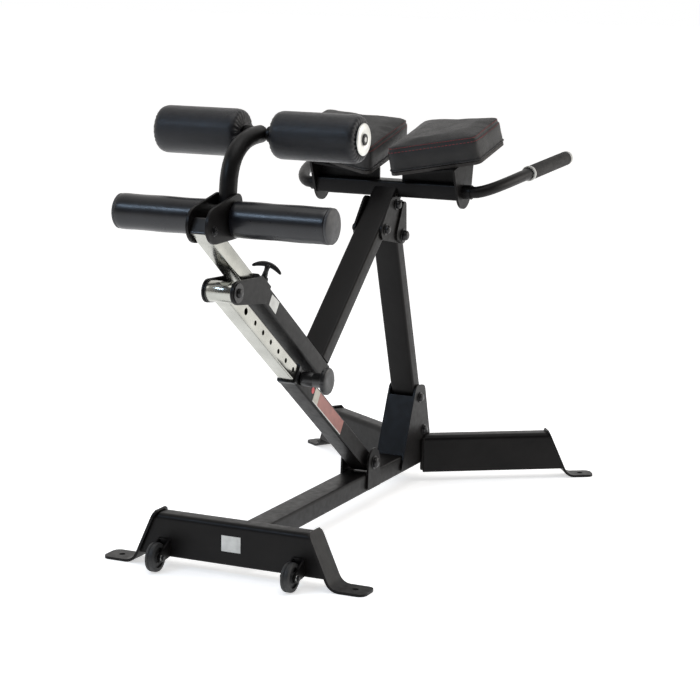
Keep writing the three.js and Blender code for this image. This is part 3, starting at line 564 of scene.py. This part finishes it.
def build_upper_roller(hand, side):
    node = f"upper_roller_{hand}"
    low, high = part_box(node)
    centre = (low + high) / 2
    radius = (high.z - low.z) / 2
    outer = high.y if side > 0 else low.y

    def from_axis(co):
        return math.hypot(co.x - centre.x, co.z - centre.z)

    roller = puffed(node + "_cover", node, 0.002, lambda co: from_axis(co) < 0.026, cap=0.004, pressure=4.0)
    for vertex in roller.data.vertices:
        co = vertex.co
        r = from_axis(co)
        from_end = min(high.y - co.y, co.y - low.y, key=abs)
        reach = max(0.0, 1 - abs(from_end) / PLEAT_REACH) * min(1.0, max(0.0, (radius - 0.001 - r) / 0.016))
        if reach <= 0 or r < 0.02:
            continue
        angle = math.atan2(co.z - centre.z, co.x - centre.x)
        wave = math.sin(angle * PLEATS + 0.7 * math.sin(angle * 5 + side))
        outward = 1 if co.y > centre.y else -1
        co.y += outward * PLEAT_DEPTH * reach * (wave - 0.5)
    finish_soft(roller, "vinyl", node, node)
    disc_profile = [(0, -0.001), (0.0335, -0.001), (0.0338, 0.0008), (0.0325, 0.0022)]
    disc_profile += [(0.012, 0.0026), (0.0108, 0.0014), (0, 0.0014)]
    tip = Vector((centre.x, outer, centre.z))
    disc = turned(f"roller_disc_{hand}", tip, (0, side, 0), disc_profile)
    make_piece(f"roller_disc_{hand}", disc, MAT["disc"], node)
    bolt_at = tip + Vector((0, side * 0.0014, 0))
    hex_bolt(f"roller_bolt_{hand}", bolt_at, (0, side, 0), 0.0058, 0.004, node)


def build_lower_roller(hand, side):
    node = f"lower_roller_{hand}"
    low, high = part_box(node)
    centre = (low + high) / 2
    radius = (high.z - low.z) / 2
    inner, outer = (low.y, high.y) if side > 0 else (high.y, low.y)
    length = abs(outer - inner)
    base = Vector((centre.x, inner, centre.z))
    bore = 0.0133
    turn = (0.0, 0.5, 1.0, math.pi / 2)
    profile = [(bore, 0.0)]
    profile += [(radius - 0.004 * (1 - math.sin(a)), 0.004 * (1 - math.cos(a))) for a in turn]
    rows = 26
    for i in range(1, rows):
        t = 0.004 + (length - 0.008) * i / rows
        profile.append((radius + 0.0004 * math.sin(t * 61 + side), t))
    profile += [(radius - 0.003 * (1 - math.cos(a)), length - 0.003 * (1 - math.sin(a))) for a in turn]
    profile.append((bore, length))
    roll = turned(f"foam_{hand}", base, (0, side, 0), profile, 72)
    piece = make_piece(f"foam_{hand}", roll, MAT["foam"], node)
    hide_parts(node)
    tip = Vector((centre.x, outer, centre.z))
    cap_profile = [(0, -0.001), (radius - 0.0020, -0.001), (radius - 0.0008, 0.0004)]
    cap_profile += [(radius - 0.0008, 0.0042), (radius - 0.0024, 0.0057), (0, 0.0058)]
    cap = turned(f"foam_cap_{hand}", tip, (0, side, 0), cap_profile, 72)
    make_piece(f"foam_cap_{hand}", cap, MAT["end_cap"], node)


# ---------------------------------------------------------------- fasteners
def hex_bolt(name, place, direction, radius, height, body, material=None):
    """A chamfered hexagonal head on a washer."""
    d = Vector(direction).normalized()
    u, v = axes_along(d)
    washer = turned(name, place, d, [
        (0, 0), (radius * 1.55, 0), (radius * 1.6, 0.0006), (radius * 1.5, 0.0014), (0, 0.0014),
    ], 32)
    verts, faces = [], []
    for share, t in ((1.0, 0.001), (1.0, height * 0.78), (0.86, height)):
        for k in range(6):
            a = math.pi / 3 * k + 0.3
            verts.append(Vector(place) + d * t + (u * math.cos(a) + v * math.sin(a)) * radius * 1.12 * share)
    for row in (0, 6):
        for k in range(6):
            m = (k + 1) % 6
            faces.append([row + k, row + m, row + 6 + m, row + 6 + k])
    faces.append(list(range(6))[::-1])
    faces.append(list(range(12, 18)))
    head = mesh_from(name, verts, faces)
    mesh = joined_mesh(name, [washer, head])
    piece = make_piece(name, mesh, material or MAT["zinc"], body, smooth=False)
    with_modifier(
        piece, "BEVEL", width=0.0004, segments=2, limit_method="ANGLE", angle_limit=math.radians(35)
    )
    return piece


def cap_nut_bolt(node, body, grip, radius, dome, bushing=0):
    """Visible ends of a through bolt: washer and round domed cap on both sides, with the shank between them.
    """
    low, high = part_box(node)
    x, z = (low.x + high.x) / 2, (low.z + high.z) / 2
    meshes = []
    for side in (1, -1):
        base = Vector((x, side * (grip + 0.0003), z))
        profile = [(0, 0), (radius * 1.28, 0), (radius * 1.32, 0.0008), (radius * 1.25, 0.0016), (0, 0.0016)]
        meshes.append(turned(node, base, (0, side, 0), profile, 40))
        crown = [(0, 0.0010), (radius * 0.98, 0.0010), (radius, 0.0018), (radius, dome * 0.42)]
        crown += [
            (radius * math.cos(a) ** 0.7, dome * 0.42 + dome * 0.56 * math.sin(a))
            for a in (0.35, 0.7, 1.0, 1.25, 1.45)
        ]
        crown.append((0, dome * 0.985))
        meshes.append(turned(node, base, (0, side, 0), crown, 40))
    shank = [(0, -grip), (radius * 0.55, -grip), (radius * 0.55, grip), (0, grip)]
    meshes.append(turned(node, (x, 0, z), (0, 1, 0), shank, 24))
    if bushing:
        for side in (1, -1):
            ring = [(0, 0), (bushing, 0), (bushing + 0.0004, 0.0006), (bushing, 0.0018), (0, 0.0018)]
            meshes.append(turned(node, (x, side * (grip + 0.0002), z), (0, side, 0), ring, 48))
    piece = make_piece(node + "_detail", joined_mesh(node, meshes), MAT["black_steel"], body)
    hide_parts(node)
    with_modifier(piece, "EDGE_SPLIT", split_angle=math.radians(42))


def arm_axes():
    slope = math.radians(-36.5)
    return Vector((math.cos(slope), 0, math.sin(slope))), Vector((-math.sin(slope), 0, math.cos(slope)))


ARM_ALONG, ARM_UP = arm_axes()
ARM_MOUTH = Vector((-0.4845, 0, 0.626))


def on_arm(along, up, y=0.0):
    return ARM_MOUTH + ARM_ALONG * along + ARM_UP * up + Vector((0, y, 0))


PROP_PIVOT = Vector((0.1155, 0, 0.1125))
PROP_ALONG = Vector((0.8083, 0, -0.5888))
PROP_UP = Vector((0.5888, 0, 0.8083))


# ---------------------------------------------------------------- weld beads, caps and labels
BEAD_SIDES, BEAD_STEP = 8, 0.0022


def weld_bead(name, corners, body, radius=0.0022, closed=False):
    """A rippled bead laid along straight runs between corners."""
    path = []
    pairs = list(zip(corners, corners[1:])) + ([(corners[-1], corners[0])] if closed else [])
    for a, b in pairs:
        a, b = Vector(a), Vector(b)
        count = max(2, round((b - a).length / BEAD_STEP))
        path += [a.lerp(b, i / count) for i in range(count)]
    if not closed:
        path.append(Vector(corners[-1]))
    mesh = swept(name, path, radius, BEAD_SIDES, closed)
    rng = random.Random(len(name))
    for i in range(len(path)):
        swell = 1 + 0.16 * math.sin(i * 1.9) + rng.uniform(-0.06, 0.06)
        for k in range(BEAD_SIDES):
            vertex = mesh.vertices[i * BEAD_SIDES + k]
            vertex.co = path[i] + (vertex.co - path[i]) * swell
    return make_piece(name, mesh, MAT["weld"], body)


def rounded_loop(centre, u, v, half_u, half_v, corner, steps=4):
    """Corner points of a rounded rectangle about a centre."""
    loop = []
    for su, sv, start in ((1, 1, 0), (-1, 1, 1), (-1, -1, 2), (1, -1, 3)):
        for i in range(steps + 1):
            a = math.pi / 2 * (start + i / steps)
            loop.append(
                Vector(centre)
                + Vector(u) * (su * (half_u - corner) + corner * math.cos(a))
                + Vector(v) * (sv * (half_v - corner) + corner * math.sin(a))
            )
    return loop


def tube_cap(name, centre, outward, u, half_u, half_v, body, corner=0.006, thick=0.0028):
    """Moulded cap on a tube's end, with a softened rim."""
    outward, u = Vector(outward).normalized(), Vector(u).normalized()
    v = outward.cross(u)
    rings = [(0.0, -0.0002), (0.0, thick * 0.6), (0.0010, thick), (0.0045, thick * 1.05)]
    verts, faces = [], []
    for inset, t in rings:
        verts += rounded_loop(
            Vector(centre) + outward * t, u, v, half_u - inset, half_v - inset, max(corner - inset, 0.0015)
        )
    size = len(verts) // len(rings)
    for row in range(0, size * (len(rings) - 1), size):
        for k in range(size):
            m = (k + 1) % size
            faces.append([row + k, row + m, row + size + m, row + size + k])
    faces.append(list(range(size))[::-1])
    faces.append([(len(rings) - 1) * size + k for k in range(size)])
    return make_piece(name, mesh_from(name, verts, faces), MAT["black_plastic"], body)


def label(name, corners, outward, material, body, thick=0.0003):
    """A thin blank sticker with its corners given in order, on a flat face."""
    outward = Vector(outward).normalized()
    base = [Vector(c) + outward * 0.0001 for c in corners]
    verts = base + [b + outward * thick for b in base]
    count = len(base)
    faces = [list(range(count))[::-1], [count + k for k in range(count)]]
    faces += [[k, (k + 1) % count, count + (k + 1) % count, count + k] for k in range(count)]
    return make_piece(name, mesh_from(name, verts, faces), material, body, smooth=False)


# ---------------------------------------------------------------- soft goods in place
BODY_OF = {
    node: body for body, members in frame["record"]["behaviour"]["bodies"].items() for node in members
}

for hand_name, hand_side in SIDES:
    build_pad(hand_name, hand_side)
    build_upper_roller(hand_name, hand_side)
    build_lower_roller(hand_name, hand_side)


# ---------------------------------------------------------------- hand grips, barrel, wheels
GRIP_START, GRIP_END = Vector((0.437, 0.283, 0.788)), Vector((0.688, 0.2985, 0.8086))
GRIP_FROM, GRIP_TO = 0.09, 0.958  # shares of the bar's straight run


def build_grip(hand, side):
    mirror = Matrix.Diagonal((1, side, 1))
    start, end = mirror @ GRIP_START, mirror @ GRIP_END
    direction = (end - start).normalized()
    length = (end - start).length
    first, last = length * GRIP_FROM, length * GRIP_TO
    profile = [(0.01445, first), (0.0168, first), (0.0175, first + 0.0012)]
    ribs = 36
    pitch = (last - first - 0.006) / ribs
    for i in range(ribs):
        t = first + 0.003 + i * pitch
        profile += [(0.0175, t + pitch * 0.15), (0.0169, t + pitch * 0.35)]
        profile += [(0.0169, t + pitch * 0.55), (0.0175, t + pitch * 0.75)]
    profile += [(0.0175, last - 0.0012), (0.0168, last), (0.01445, last)]
    mesh = turned("grip", start, direction, profile, 40)
    sleeve = make_piece(f"grip_sleeve_{hand}", mesh, MAT["rubber"], "tilt_frame")
    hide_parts(f"grip_{hand}")
    ring_profile = [
        (0.0143, first - 0.0085), (0.0180, first - 0.0085), (0.0186, first - 0.0078),
        (0.0186, first - 0.0009), (0.0180, first - 0.0002), (0.0143, first - 0.0002),
    ]
    ring = turned("grip_ring", start, direction, ring_profile, 40)
    make_piece(f"grip_ring_{hand}", ring, MAT["light_plastic"], "tilt_frame")
    cap_profile = [(0.0, length + 0.0004), (0.0, length + 0.0058), (0.009, length + 0.0052)]
    cap_profile += [(0.0145, length + 0.0030), (0.0172, length - 0.0005)]
    cap_profile += [(0.0176, last + 0.0012), (0.0171, last + 0.0002)]
    cap_profile += [(0.0143, last + 0.0002), (0.0143, length + 0.0004)]
    cap = turned("grip_cap", start, direction, cap_profile, 40)
    make_piece(f"grip_cap_{hand}", cap, MAT["light_plastic"], "tilt_frame")


def build_barrel():
    low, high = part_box("prop_barrel")
    centre = (low + high) / 2
    half, outer, bore = 0.03175, 0.0225, 0.0180
    profile = [(bore, -half), (outer - 0.0006, -half), (outer, -half + 0.0006)]
    profile += [(outer, half - 0.0006), (outer - 0.0006, half), (bore, half)]
    mesh = turned("barrel", (centre.x, 0, centre.z), (0, 1, 0), profile, 72)
    barrel = make_piece("barrel_tube", mesh, MAT["chrome"], "prop_slider")
    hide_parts("prop_barrel")
    opening = bore + 0.0001
    for hand, side in SIDES:
        rim = [
            (opening, 0.0292), (outer + 0.0004, 0.0292), (outer + 0.0007, 0.0296),
            (outer + 0.0007, 0.0311), (outer + 0.0002, 0.0316), (opening, 0.0316),
        ]
        mesh = turned("rim", (centre.x, 0, centre.z), (0, side, 0), rim, 72)
        make_piece(f"barrel_rim_{hand}", mesh, MAT["black_plastic"], "prop_slider")


def build_wheel(hand):
    node = f"wheel_{hand}"
    low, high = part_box(node)
    centre = (low + high) / 2
    outer = (high.z - low.z) / 2
    half = (high.y - low.y) / 2
    bore = 0.0073
    profile = [(bore, -half + 0.001), (0.0115, -half), (0.0125, -half + 0.0035), (0.0215, -half + 0.0045)]
    profile += [(0.0225, -half + 0.0005), (outer - 0.004, -half), (outer - 0.0012, -half + 0.0016)]
    profile += [(outer, -half + 0.005), (outer, -0.0022), (outer - 0.0012, -0.0012)]
    profile += [(r, -t) for r, t in profile[::-1]]
    mesh = turned(node, centre, (0, 1, 0), profile, 72)
    wheel = make_piece(f"tyre_{hand}", mesh, MAT["wheel_rubber"], node)
    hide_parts(node)
    with_modifier(wheel, "EDGE_SPLIT", split_angle=math.radians(38))


WHEEL_X, WHEEL_Y, WHEEL_Z, AXLE_HALF = -0.5855, 0.162, 0.032, 0.0178
for hand_name, hand_side in SIDES:
    build_grip(hand_name, hand_side)
    build_wheel(hand_name)
    for end_name, end in (("out", 1), ("in", -1)):
        axle_end = Vector((WHEEL_X, hand_side * WHEEL_Y + end * AXLE_HALF, WHEEL_Z))
        hex_bolt(f"wheel_bolt_{hand_name}_{end_name}", axle_end, (0, end, 0), 0.0052, 0.0045,
                 BODY_OF[f"wheel_axle_{hand_name}"], MAT["black_steel"])
build_barrel()


# ---------------------------------------------------------------- through bolts
BOLTS = {  # half grip, head radius, dome height, and the bushing's radius where there is one
    "pivot_bolt": (0.04235, 0.0125, 0.0136),
    "carriage_bolt": (0.03735, 0.0100, 0.0086, 0.0205),
    "tilt_bolt_upper": (0.03735, 0.0100, 0.0116),
    "tilt_bolt_lower": (0.03735, 0.0100, 0.0116),
    "gusset_bolt_upper": (0.03735, 0.0100, 0.0086),
    "gusset_bolt_lower": (0.03735, 0.0100, 0.0086),
    "prop_hinge_bolt": (0.03735, 0.0125, 0.0106),
}
for bolt_name, sizes in BOLTS.items():
    cap_nut_bolt(bolt_name, BODY_OF[bolt_name], *sizes)


# ---------------------------------------------------------------- caps on the open tube ends
tube_cap("beam_cap", (0.466, 0, 0.06675), (1, 0, 0), (0, 1, 0), 0.03155, 0.02205, "base")
tube_cap("arm_cap", on_arm(0.425, 0), ARM_ALONG, (0, 1, 0), 0.03155, 0.0220, "tilt_frame")


# ---------------------------------------------------------------- bent feet
FOOT_PLATE = 0.006
FOOT_TOP = 0.123
FOOT_LEAN = 42 / 94
HOLE_RADIUS = 0.007
FRONT_FOOT = {"top_at": 0.183, "tip_at": 0.316, "hole_at": 0.283, "width": 0.0635}
REAR_FOOT = {"top_at": 0.305, "tip_at": 0.42985, "hole_at": 0.399, "width": 0.050}


def foot_path(top_at, tip_at, bend=0.022):
    """Points down the inner face of a foot, round its bend and out to its tip, as (outward, height)."""
    def lean_at(z):
        return top_at + FOOT_LEAN * (0.117 - z)

    mid = FOOT_PLATE / 2
    corner = Vector((lean_at(mid) + mid * 1.1, mid))
    upper = Vector((lean_at(FOOT_TOP - 0.0015) + mid * 1.1, FOOT_TOP - 0.0015))
    tip = Vector((tip_at, mid))
    into, away = (corner - upper).normalized(), (tip - corner).normalized()
    start, stop = corner - into * bend, corner + away * bend
    path = [upper.lerp(start, i / 14) for i in range(14)]
    for t in (k / 12 for k in range(12)):
        path.append(start * (1 - t) ** 2 + corner * 2 * t * (1 - t) + stop * t * t)
    return path + [stop.lerp(tip, i / 26) for i in range(27)]


def drawn_in(edge, corner):
    """How far a rounded corner draws a side in, at a distance from the strap's end."""
    if edge >= corner:
        return 0.0
    return corner - math.sqrt(corner ** 2 - (corner - edge) ** 2)


def build_foot(name, origin, outward, top_at, tip_at, hole_at, width):
    """A strap with rounded ends and a bolt hole, bent once."""
    outward = Vector(outward).normalized()
    across = Vector((0, 0, 1)).cross(outward)
    path = foot_path(top_at, tip_at)
    lengths = [0.0]
    for a, b in zip(path, path[1:]):
        lengths.append(lengths[-1] + (b - a).length)
    total, corner, columns = lengths[-1], 0.017, 12
    verts = []
    for i, p in enumerate(path):
        before, after = path[max(i - 1, 0)], path[min(i + 1, len(path) - 1)]
        run = (after - before).normalized()
        normal = Vector((run.y, -run.x)) * -1
        edge = min(lengths[i], total - lengths[i])
        half = width / 2 - drawn_in(edge, corner) * (1.0 if lengths[i] > total / 2 else 0.55)
        for side in (-1, 1):
            q = p + normal * (side * FOOT_PLATE / 2 * 0.98)
            for k in range(columns + 1):
                y = -half + 2 * half * k / columns
                verts.append(Vector(origin) + outward * q.x + across * y + Vector((0, 0, q.y)))
    row = 2 * (columns + 1)
    faces = []
    for i in range(len(path) - 1):
        a, b = i * row, (i + 1) * row
        for k in range(columns):
            faces.append([a + k, a + k + 1, b + k + 1, b + k])
            m = columns + 1 + k
            faces.append([a + m, b + m, b + m + 1, a + m + 1])
        faces.append([a, b, b + columns + 1, a + columns + 1])
        faces.append([a + columns, a + row - 1, b + row - 1, b + columns])
    for a in (0, (len(path) - 1) * row):
        for k in range(columns):
            faces.append([a + k, a + k + 1, a + columns + 2 + k, a + columns + 1 + k])
    piece = make_piece(name + "_strap", mesh_from(name, verts, faces), MAT["paint"], "base")
    centre = Vector(origin) + outward * hole_at
    drill = [(0, 0), (HOLE_RADIUS, 0), (HOLE_RADIUS, 0.03), (0, 0.03)]
    tool = bpy.data.objects.new("hole", turned("hole", (centre.x, centre.y, -0.01), (0, 0, 1), drill, 40))
    bpy.context.scene.collection.objects.link(tool)
    with_modifier(piece, "BOOLEAN", object=tool, operation="DIFFERENCE", solver="EXACT")
    applied(piece)
    bpy.data.objects.remove(tool)
    with_modifier(
        piece, "BEVEL", width=0.0008, segments=2, limit_method="ANGLE",
        angle_limit=math.radians(50), harden_normals=True,
    )
    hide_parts(name)


REAR_SWEEP = math.radians(34)
for hand_name, hand_side in SIDES:
    build_foot(f"front_foot_{hand_name}", (-0.521, 0, 0), (0, hand_side, 0), **FRONT_FOOT)
    rear_out = (math.sin(REAR_SWEEP), hand_side * math.cos(REAR_SWEEP), 0)
    build_foot(f"rear_foot_{hand_name}", (0.4364, hand_side * 0.041, 0), rear_out, **REAR_FOOT)


# ---------------------------------------------------------------- pull handle and pull knob
def build_pull_handle():
    """Flared stem with a drooping crescent bar, standing on the arm."""
    root = on_arm(0.0688, 0)
    stem = [(0, 0.020), (0.0032, 0.020), (0.0040, 0.0215), (0.0040, 0.0540), (0.0068, 0.0555)]
    stem += [(0.0060, 0.0620), (0.0052, 0.0700), (0.0058, 0.0770), (0.0078, 0.0820), (0, 0.0860)]
    across = Vector((0, 1, 0)) * math.cos(math.radians(30)) - ARM_ALONG * math.sin(math.radians(30))
    steps = 28
    path, radii = [], []
    for i in range(steps + 1):
        t = 2 * i / steps - 1
        path.append(root + across * (0.0325 * t) + ARM_UP * (0.0715 + 0.0135 * (1 - t * t)))
        radii.append(0.0028 + 0.0032 * (1 - abs(t) ** 2.4))
    radii[0] = radii[-1] = 0.0016
    meshes = [turned("stem", root, ARM_UP, stem, 40), swept("bar", path, radii, 16)]
    piece = make_piece("arm_pull_handle", joined_mesh("pull", meshes), MAT["black_plastic"], "arm_pull_pin")
    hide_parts("arm_pin")


def build_pull_knob():
    """Flanged knob with shallow finger flutes round its rim."""
    root = PROP_PIVOT - PROP_ALONG * 0.4588
    profile = [(0, 20), (4.4, 20), (5.2, 21.5), (5.2, 72), (14.2, 72), (14.2, 26), (14.6, 25.5), (15.6, 25.5)]
    profile += [(16.4, 27.5), (16.4, 52), (15.8, 53), (15.8, 56), (16.4, 57), (16.4, 73), (18.4, 76)]
    profile += [(22, 77.6), (29, 79.2), (30.4, 80.6), (31, 84), (30.6, 87.4), (29.4, 89.3)]
    profile += [(26, 91), (20, 91.9), (12, 91.2), (0, 90.9)]
    profile = [(radius / 1000, out / 1000) for radius, out in profile]

    def flutes(radius, out, angle):
        return -0.0006 * max(0.0, math.cos(angle * 14)) ** 3 if radius > 0.0288 else 0

    knob = turned("knob", root, (0, -1, 0), profile, 168, flutes)
    piece = make_piece("prop_pull_knob", knob, MAT["black_plastic"], "prop_pull_pin")
    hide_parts("prop_pin")


build_pull_handle()
build_pull_knob()


# ---------------------------------------------------------------- leg end cap and bracket bolts
tube_cap("leg_cap", on_arm(-0.243, 0), -ARM_ALONG, (0, 1, 0), 0.0189, 0.0189, "leg", 0.004, 0.0024)
for hand_name, hand_side in SIDES:
    place = on_arm(-0.2275, -0.001, hand_side * 0.0255)
    hex_bolt(f"bracket_bolt_{hand_name}", place, (0, hand_side, 0), 0.0068, 0.0055, "leg",
             MAT["black_steel"])


# ---------------------------------------------------------------- blank labels
label("label_arm", [(-0.4215, -0.03175, 0.5970), (-0.3867, -0.03175, 0.5746), (-0.4053, -0.03175, 0.5512),
                    (-0.4360, -0.03175, 0.5765)], (0, -1, 0), MAT["label_white"], "tilt_frame")
label("label_front", [(-0.5445, -0.023, 0.054), (-0.5445, 0.023, 0.054), (-0.5445, 0.023, 0.089),
                      (-0.5445, -0.023, 0.089)], (-1, 0, 0), MAT["label_white"], "base")


def on_prop(along, up):
    """A point on the right face of the lower prop tube, measured from its lower pivot."""
    return PROP_PIVOT + Vector((0, -0.02223, 0)) + PROP_ALONG * along + PROP_UP * up


def prop_label(name, start, stop, low, high, material):
    corners = [on_prop(start, low), on_prop(stop, low), on_prop(stop, high), on_prop(start, high)]
    label(name, corners, (0, -1, 0), material, "prop")


prop_label("label_prop_head", -0.378, -0.350, -0.0150, 0.0172, MAT["label_beige"])
# warning label in a pale red that paints glare over its own deep red
prop_label("label_prop_warning", -0.350, -0.194, -0.0150, 0.0172, MAT["label_red_painted_glare"])
prop_label("label_prop_border", -0.378, -0.194, -0.0172, -0.0150, MAT["label_white"])
# round patch at the label's upper end in its own deep red; the rest of the label has painted glare
UNGLARED_ALONG, UNGLARED_UP, UNGLARED_RADIUS = -0.389, 0.004, 0.0075
unglared_patch = []
for patch_angle in (math.pi * k / 10 for k in range(20)):
    patch_along = UNGLARED_ALONG + UNGLARED_RADIUS * math.cos(patch_angle)
    unglared_patch.append(on_prop(patch_along, UNGLARED_UP + UNGLARED_RADIUS * math.sin(patch_angle)))
label("label_prop_unglared", unglared_patch, (0, -1, 0), MAT["label_red_unglared"], "prop")


# ---------------------------------------------------------------- weld beads
def tube_weld(name, centre, along, across, half_a, half_b, body, corner=0.005, radius=0.0022):
    """A bead round a rectangular joint."""
    weld_bead(name, rounded_loop(centre, along, across, half_a, half_b, corner), body, radius, closed=True)


BEAM_TOP, BEAM_SIDE, BEAM_FRONT = 0.089, 0.0318, -0.4944
UPRIGHT_UP = Vector((-0.3040, 0, 0.9527))
TILT_PIVOT = Vector((0.2525, 0, 0.645))
upright_foot_half = 0.01905 / UPRIGHT_UP.z
foot_centre = TILT_PIVOT - UPRIGHT_UP * ((TILT_PIVOT.z - BEAM_TOP) / UPRIGHT_UP.z) + Vector((0, 0, 0.001))
tube_weld("weld_upright", foot_centre, (1, 0, 0), (0, 1, 0), upright_foot_half, 0.03175, "base")
for hand_name, hand_side in SIDES:
    y, z = hand_side * BEAM_SIDE, BEAM_TOP + 0.0003
    for part, x_low, x_high in (("prop_plate", 0.082, 0.154), ("gusset_plate", 0.300, 0.440)):
        weld_bead(f"weld_{part}_{hand_name}", [(x_low, y, z), (x_high, y, z)], "base", 0.0018)
    front_corners = [(BEAM_FRONT, y, 0.047), (BEAM_FRONT, y, 0.087)]
    weld_bead(f"weld_beam_front_{hand_name}", front_corners, "base", 0.0024)


# ---------------------------------------------------------------- stage and light
def soft_light(name, place, aim, size, energy, tint=(1, 1, 1)):
    data = bpy.data.lights.new(name, "AREA")
    data.shape = "RECTANGLE"
    data.size, data.size_y = size
    data.energy = energy
    data.color = tint
    lamp = bpy.data.objects.new(name, data)
    bpy.context.scene.collection.objects.link(lamp)
    facing = (Vector(aim) - Vector(place)).to_track_quat("-Z", "Y")
    lamp.matrix_world = Matrix.Translation(place) @ facing.to_matrix().to_4x4()
    lamp.visible_camera = False


def make_floor():
    mesh = mesh_from("floor", [(-30, -30, 0), (30, -30, 0), (30, 30, 0), (-30, 30, 0)], [[0, 1, 2, 3]])
    floor = bpy.data.objects.new("floor", mesh)
    bpy.context.scene.collection.objects.link(floor)
    floor.location.z = -0.0004
    n = Nodes("floor")
    n.set(Base_Color=(0.93, 0.93, 0.93, 1), Roughness=0.9, Specular_IOR_Level=0.1)
    n.set(Emission_Color=(1, 1, 1, 1), Emission_Strength=0.58)
    mesh.materials.append(n.material)


def make_world():
    """Pale studio, brighter beyond the hand grips than behind the camera, which itself sees white."""
    world = bpy.data.worlds.new("studio")
    bpy.context.scene.world = world
    world.use_nodes = True
    tree = world.node_tree
    tree.nodes.clear()

    def add(kind, **settings):
        node = tree.nodes.new(kind)
        for key, value in settings.items():
            setattr(node, key, value)
        return node

    place = add("ShaderNodeTexCoord").outputs["Generated"]
    toward = add("ShaderNodeVectorMath", operation="DOT_PRODUCT")
    tree.links.new(place, toward.inputs[0])
    toward.inputs[1].default_value = (0.91, 0.42, 0.0)
    level = add("ShaderNodeMapRange")
    tree.links.new(toward.outputs["Value"], level.inputs["Value"])
    level.inputs["From Min"].default_value = -0.7
    level.inputs["From Max"].default_value = 0.95
    level.inputs["To Min"].default_value = 0.10
    level.inputs["To Max"].default_value = 1.0
    around = add("ShaderNodeBackground")
    around.inputs["Color"].default_value = (1.0, 0.985, 0.97, 1)
    tree.links.new(level.outputs["Result"], around.inputs["Strength"])
    seen = add("ShaderNodeBackground")
    seen.inputs["Color"].default_value = (1, 1, 1, 1)
    seen.inputs["Strength"].default_value = 1.0
    path = add("ShaderNodeLightPath")
    mix = add("ShaderNodeMixShader")
    tree.links.new(path.outputs["Is Camera Ray"], mix.inputs[0])
    tree.links.new(around.outputs[0], mix.inputs[1])
    tree.links.new(seen.outputs[0], mix.inputs[2])
    output = add("ShaderNodeOutputWorld")
    tree.links.new(mix.outputs[0], output.inputs["Surface"])


make_floor()
make_world()
soft_light("key_overhead", (-0.4, -0.4, 3.6), (0, 0, 0.5), (2.4, 2.4), 34)
soft_light("window_front", (-3.2, 1.5, 2.9), (-0.4, 0, 0.8), (1.7, 0.34), 34, (0.58, 0.76, 1.0))
soft_light("side_right", (2.2, -3.0, 1.5), (0, 0, 0.5), (2.4, 1.8), 40, (1.0, 0.96, 0.91))
soft_light("fill_left", (-0.6, 3.4, 1.6), (0, 0, 0.5), (2.2, 1.6), 14)
bpy.context.scene.view_settings.view_transform = "Standard"
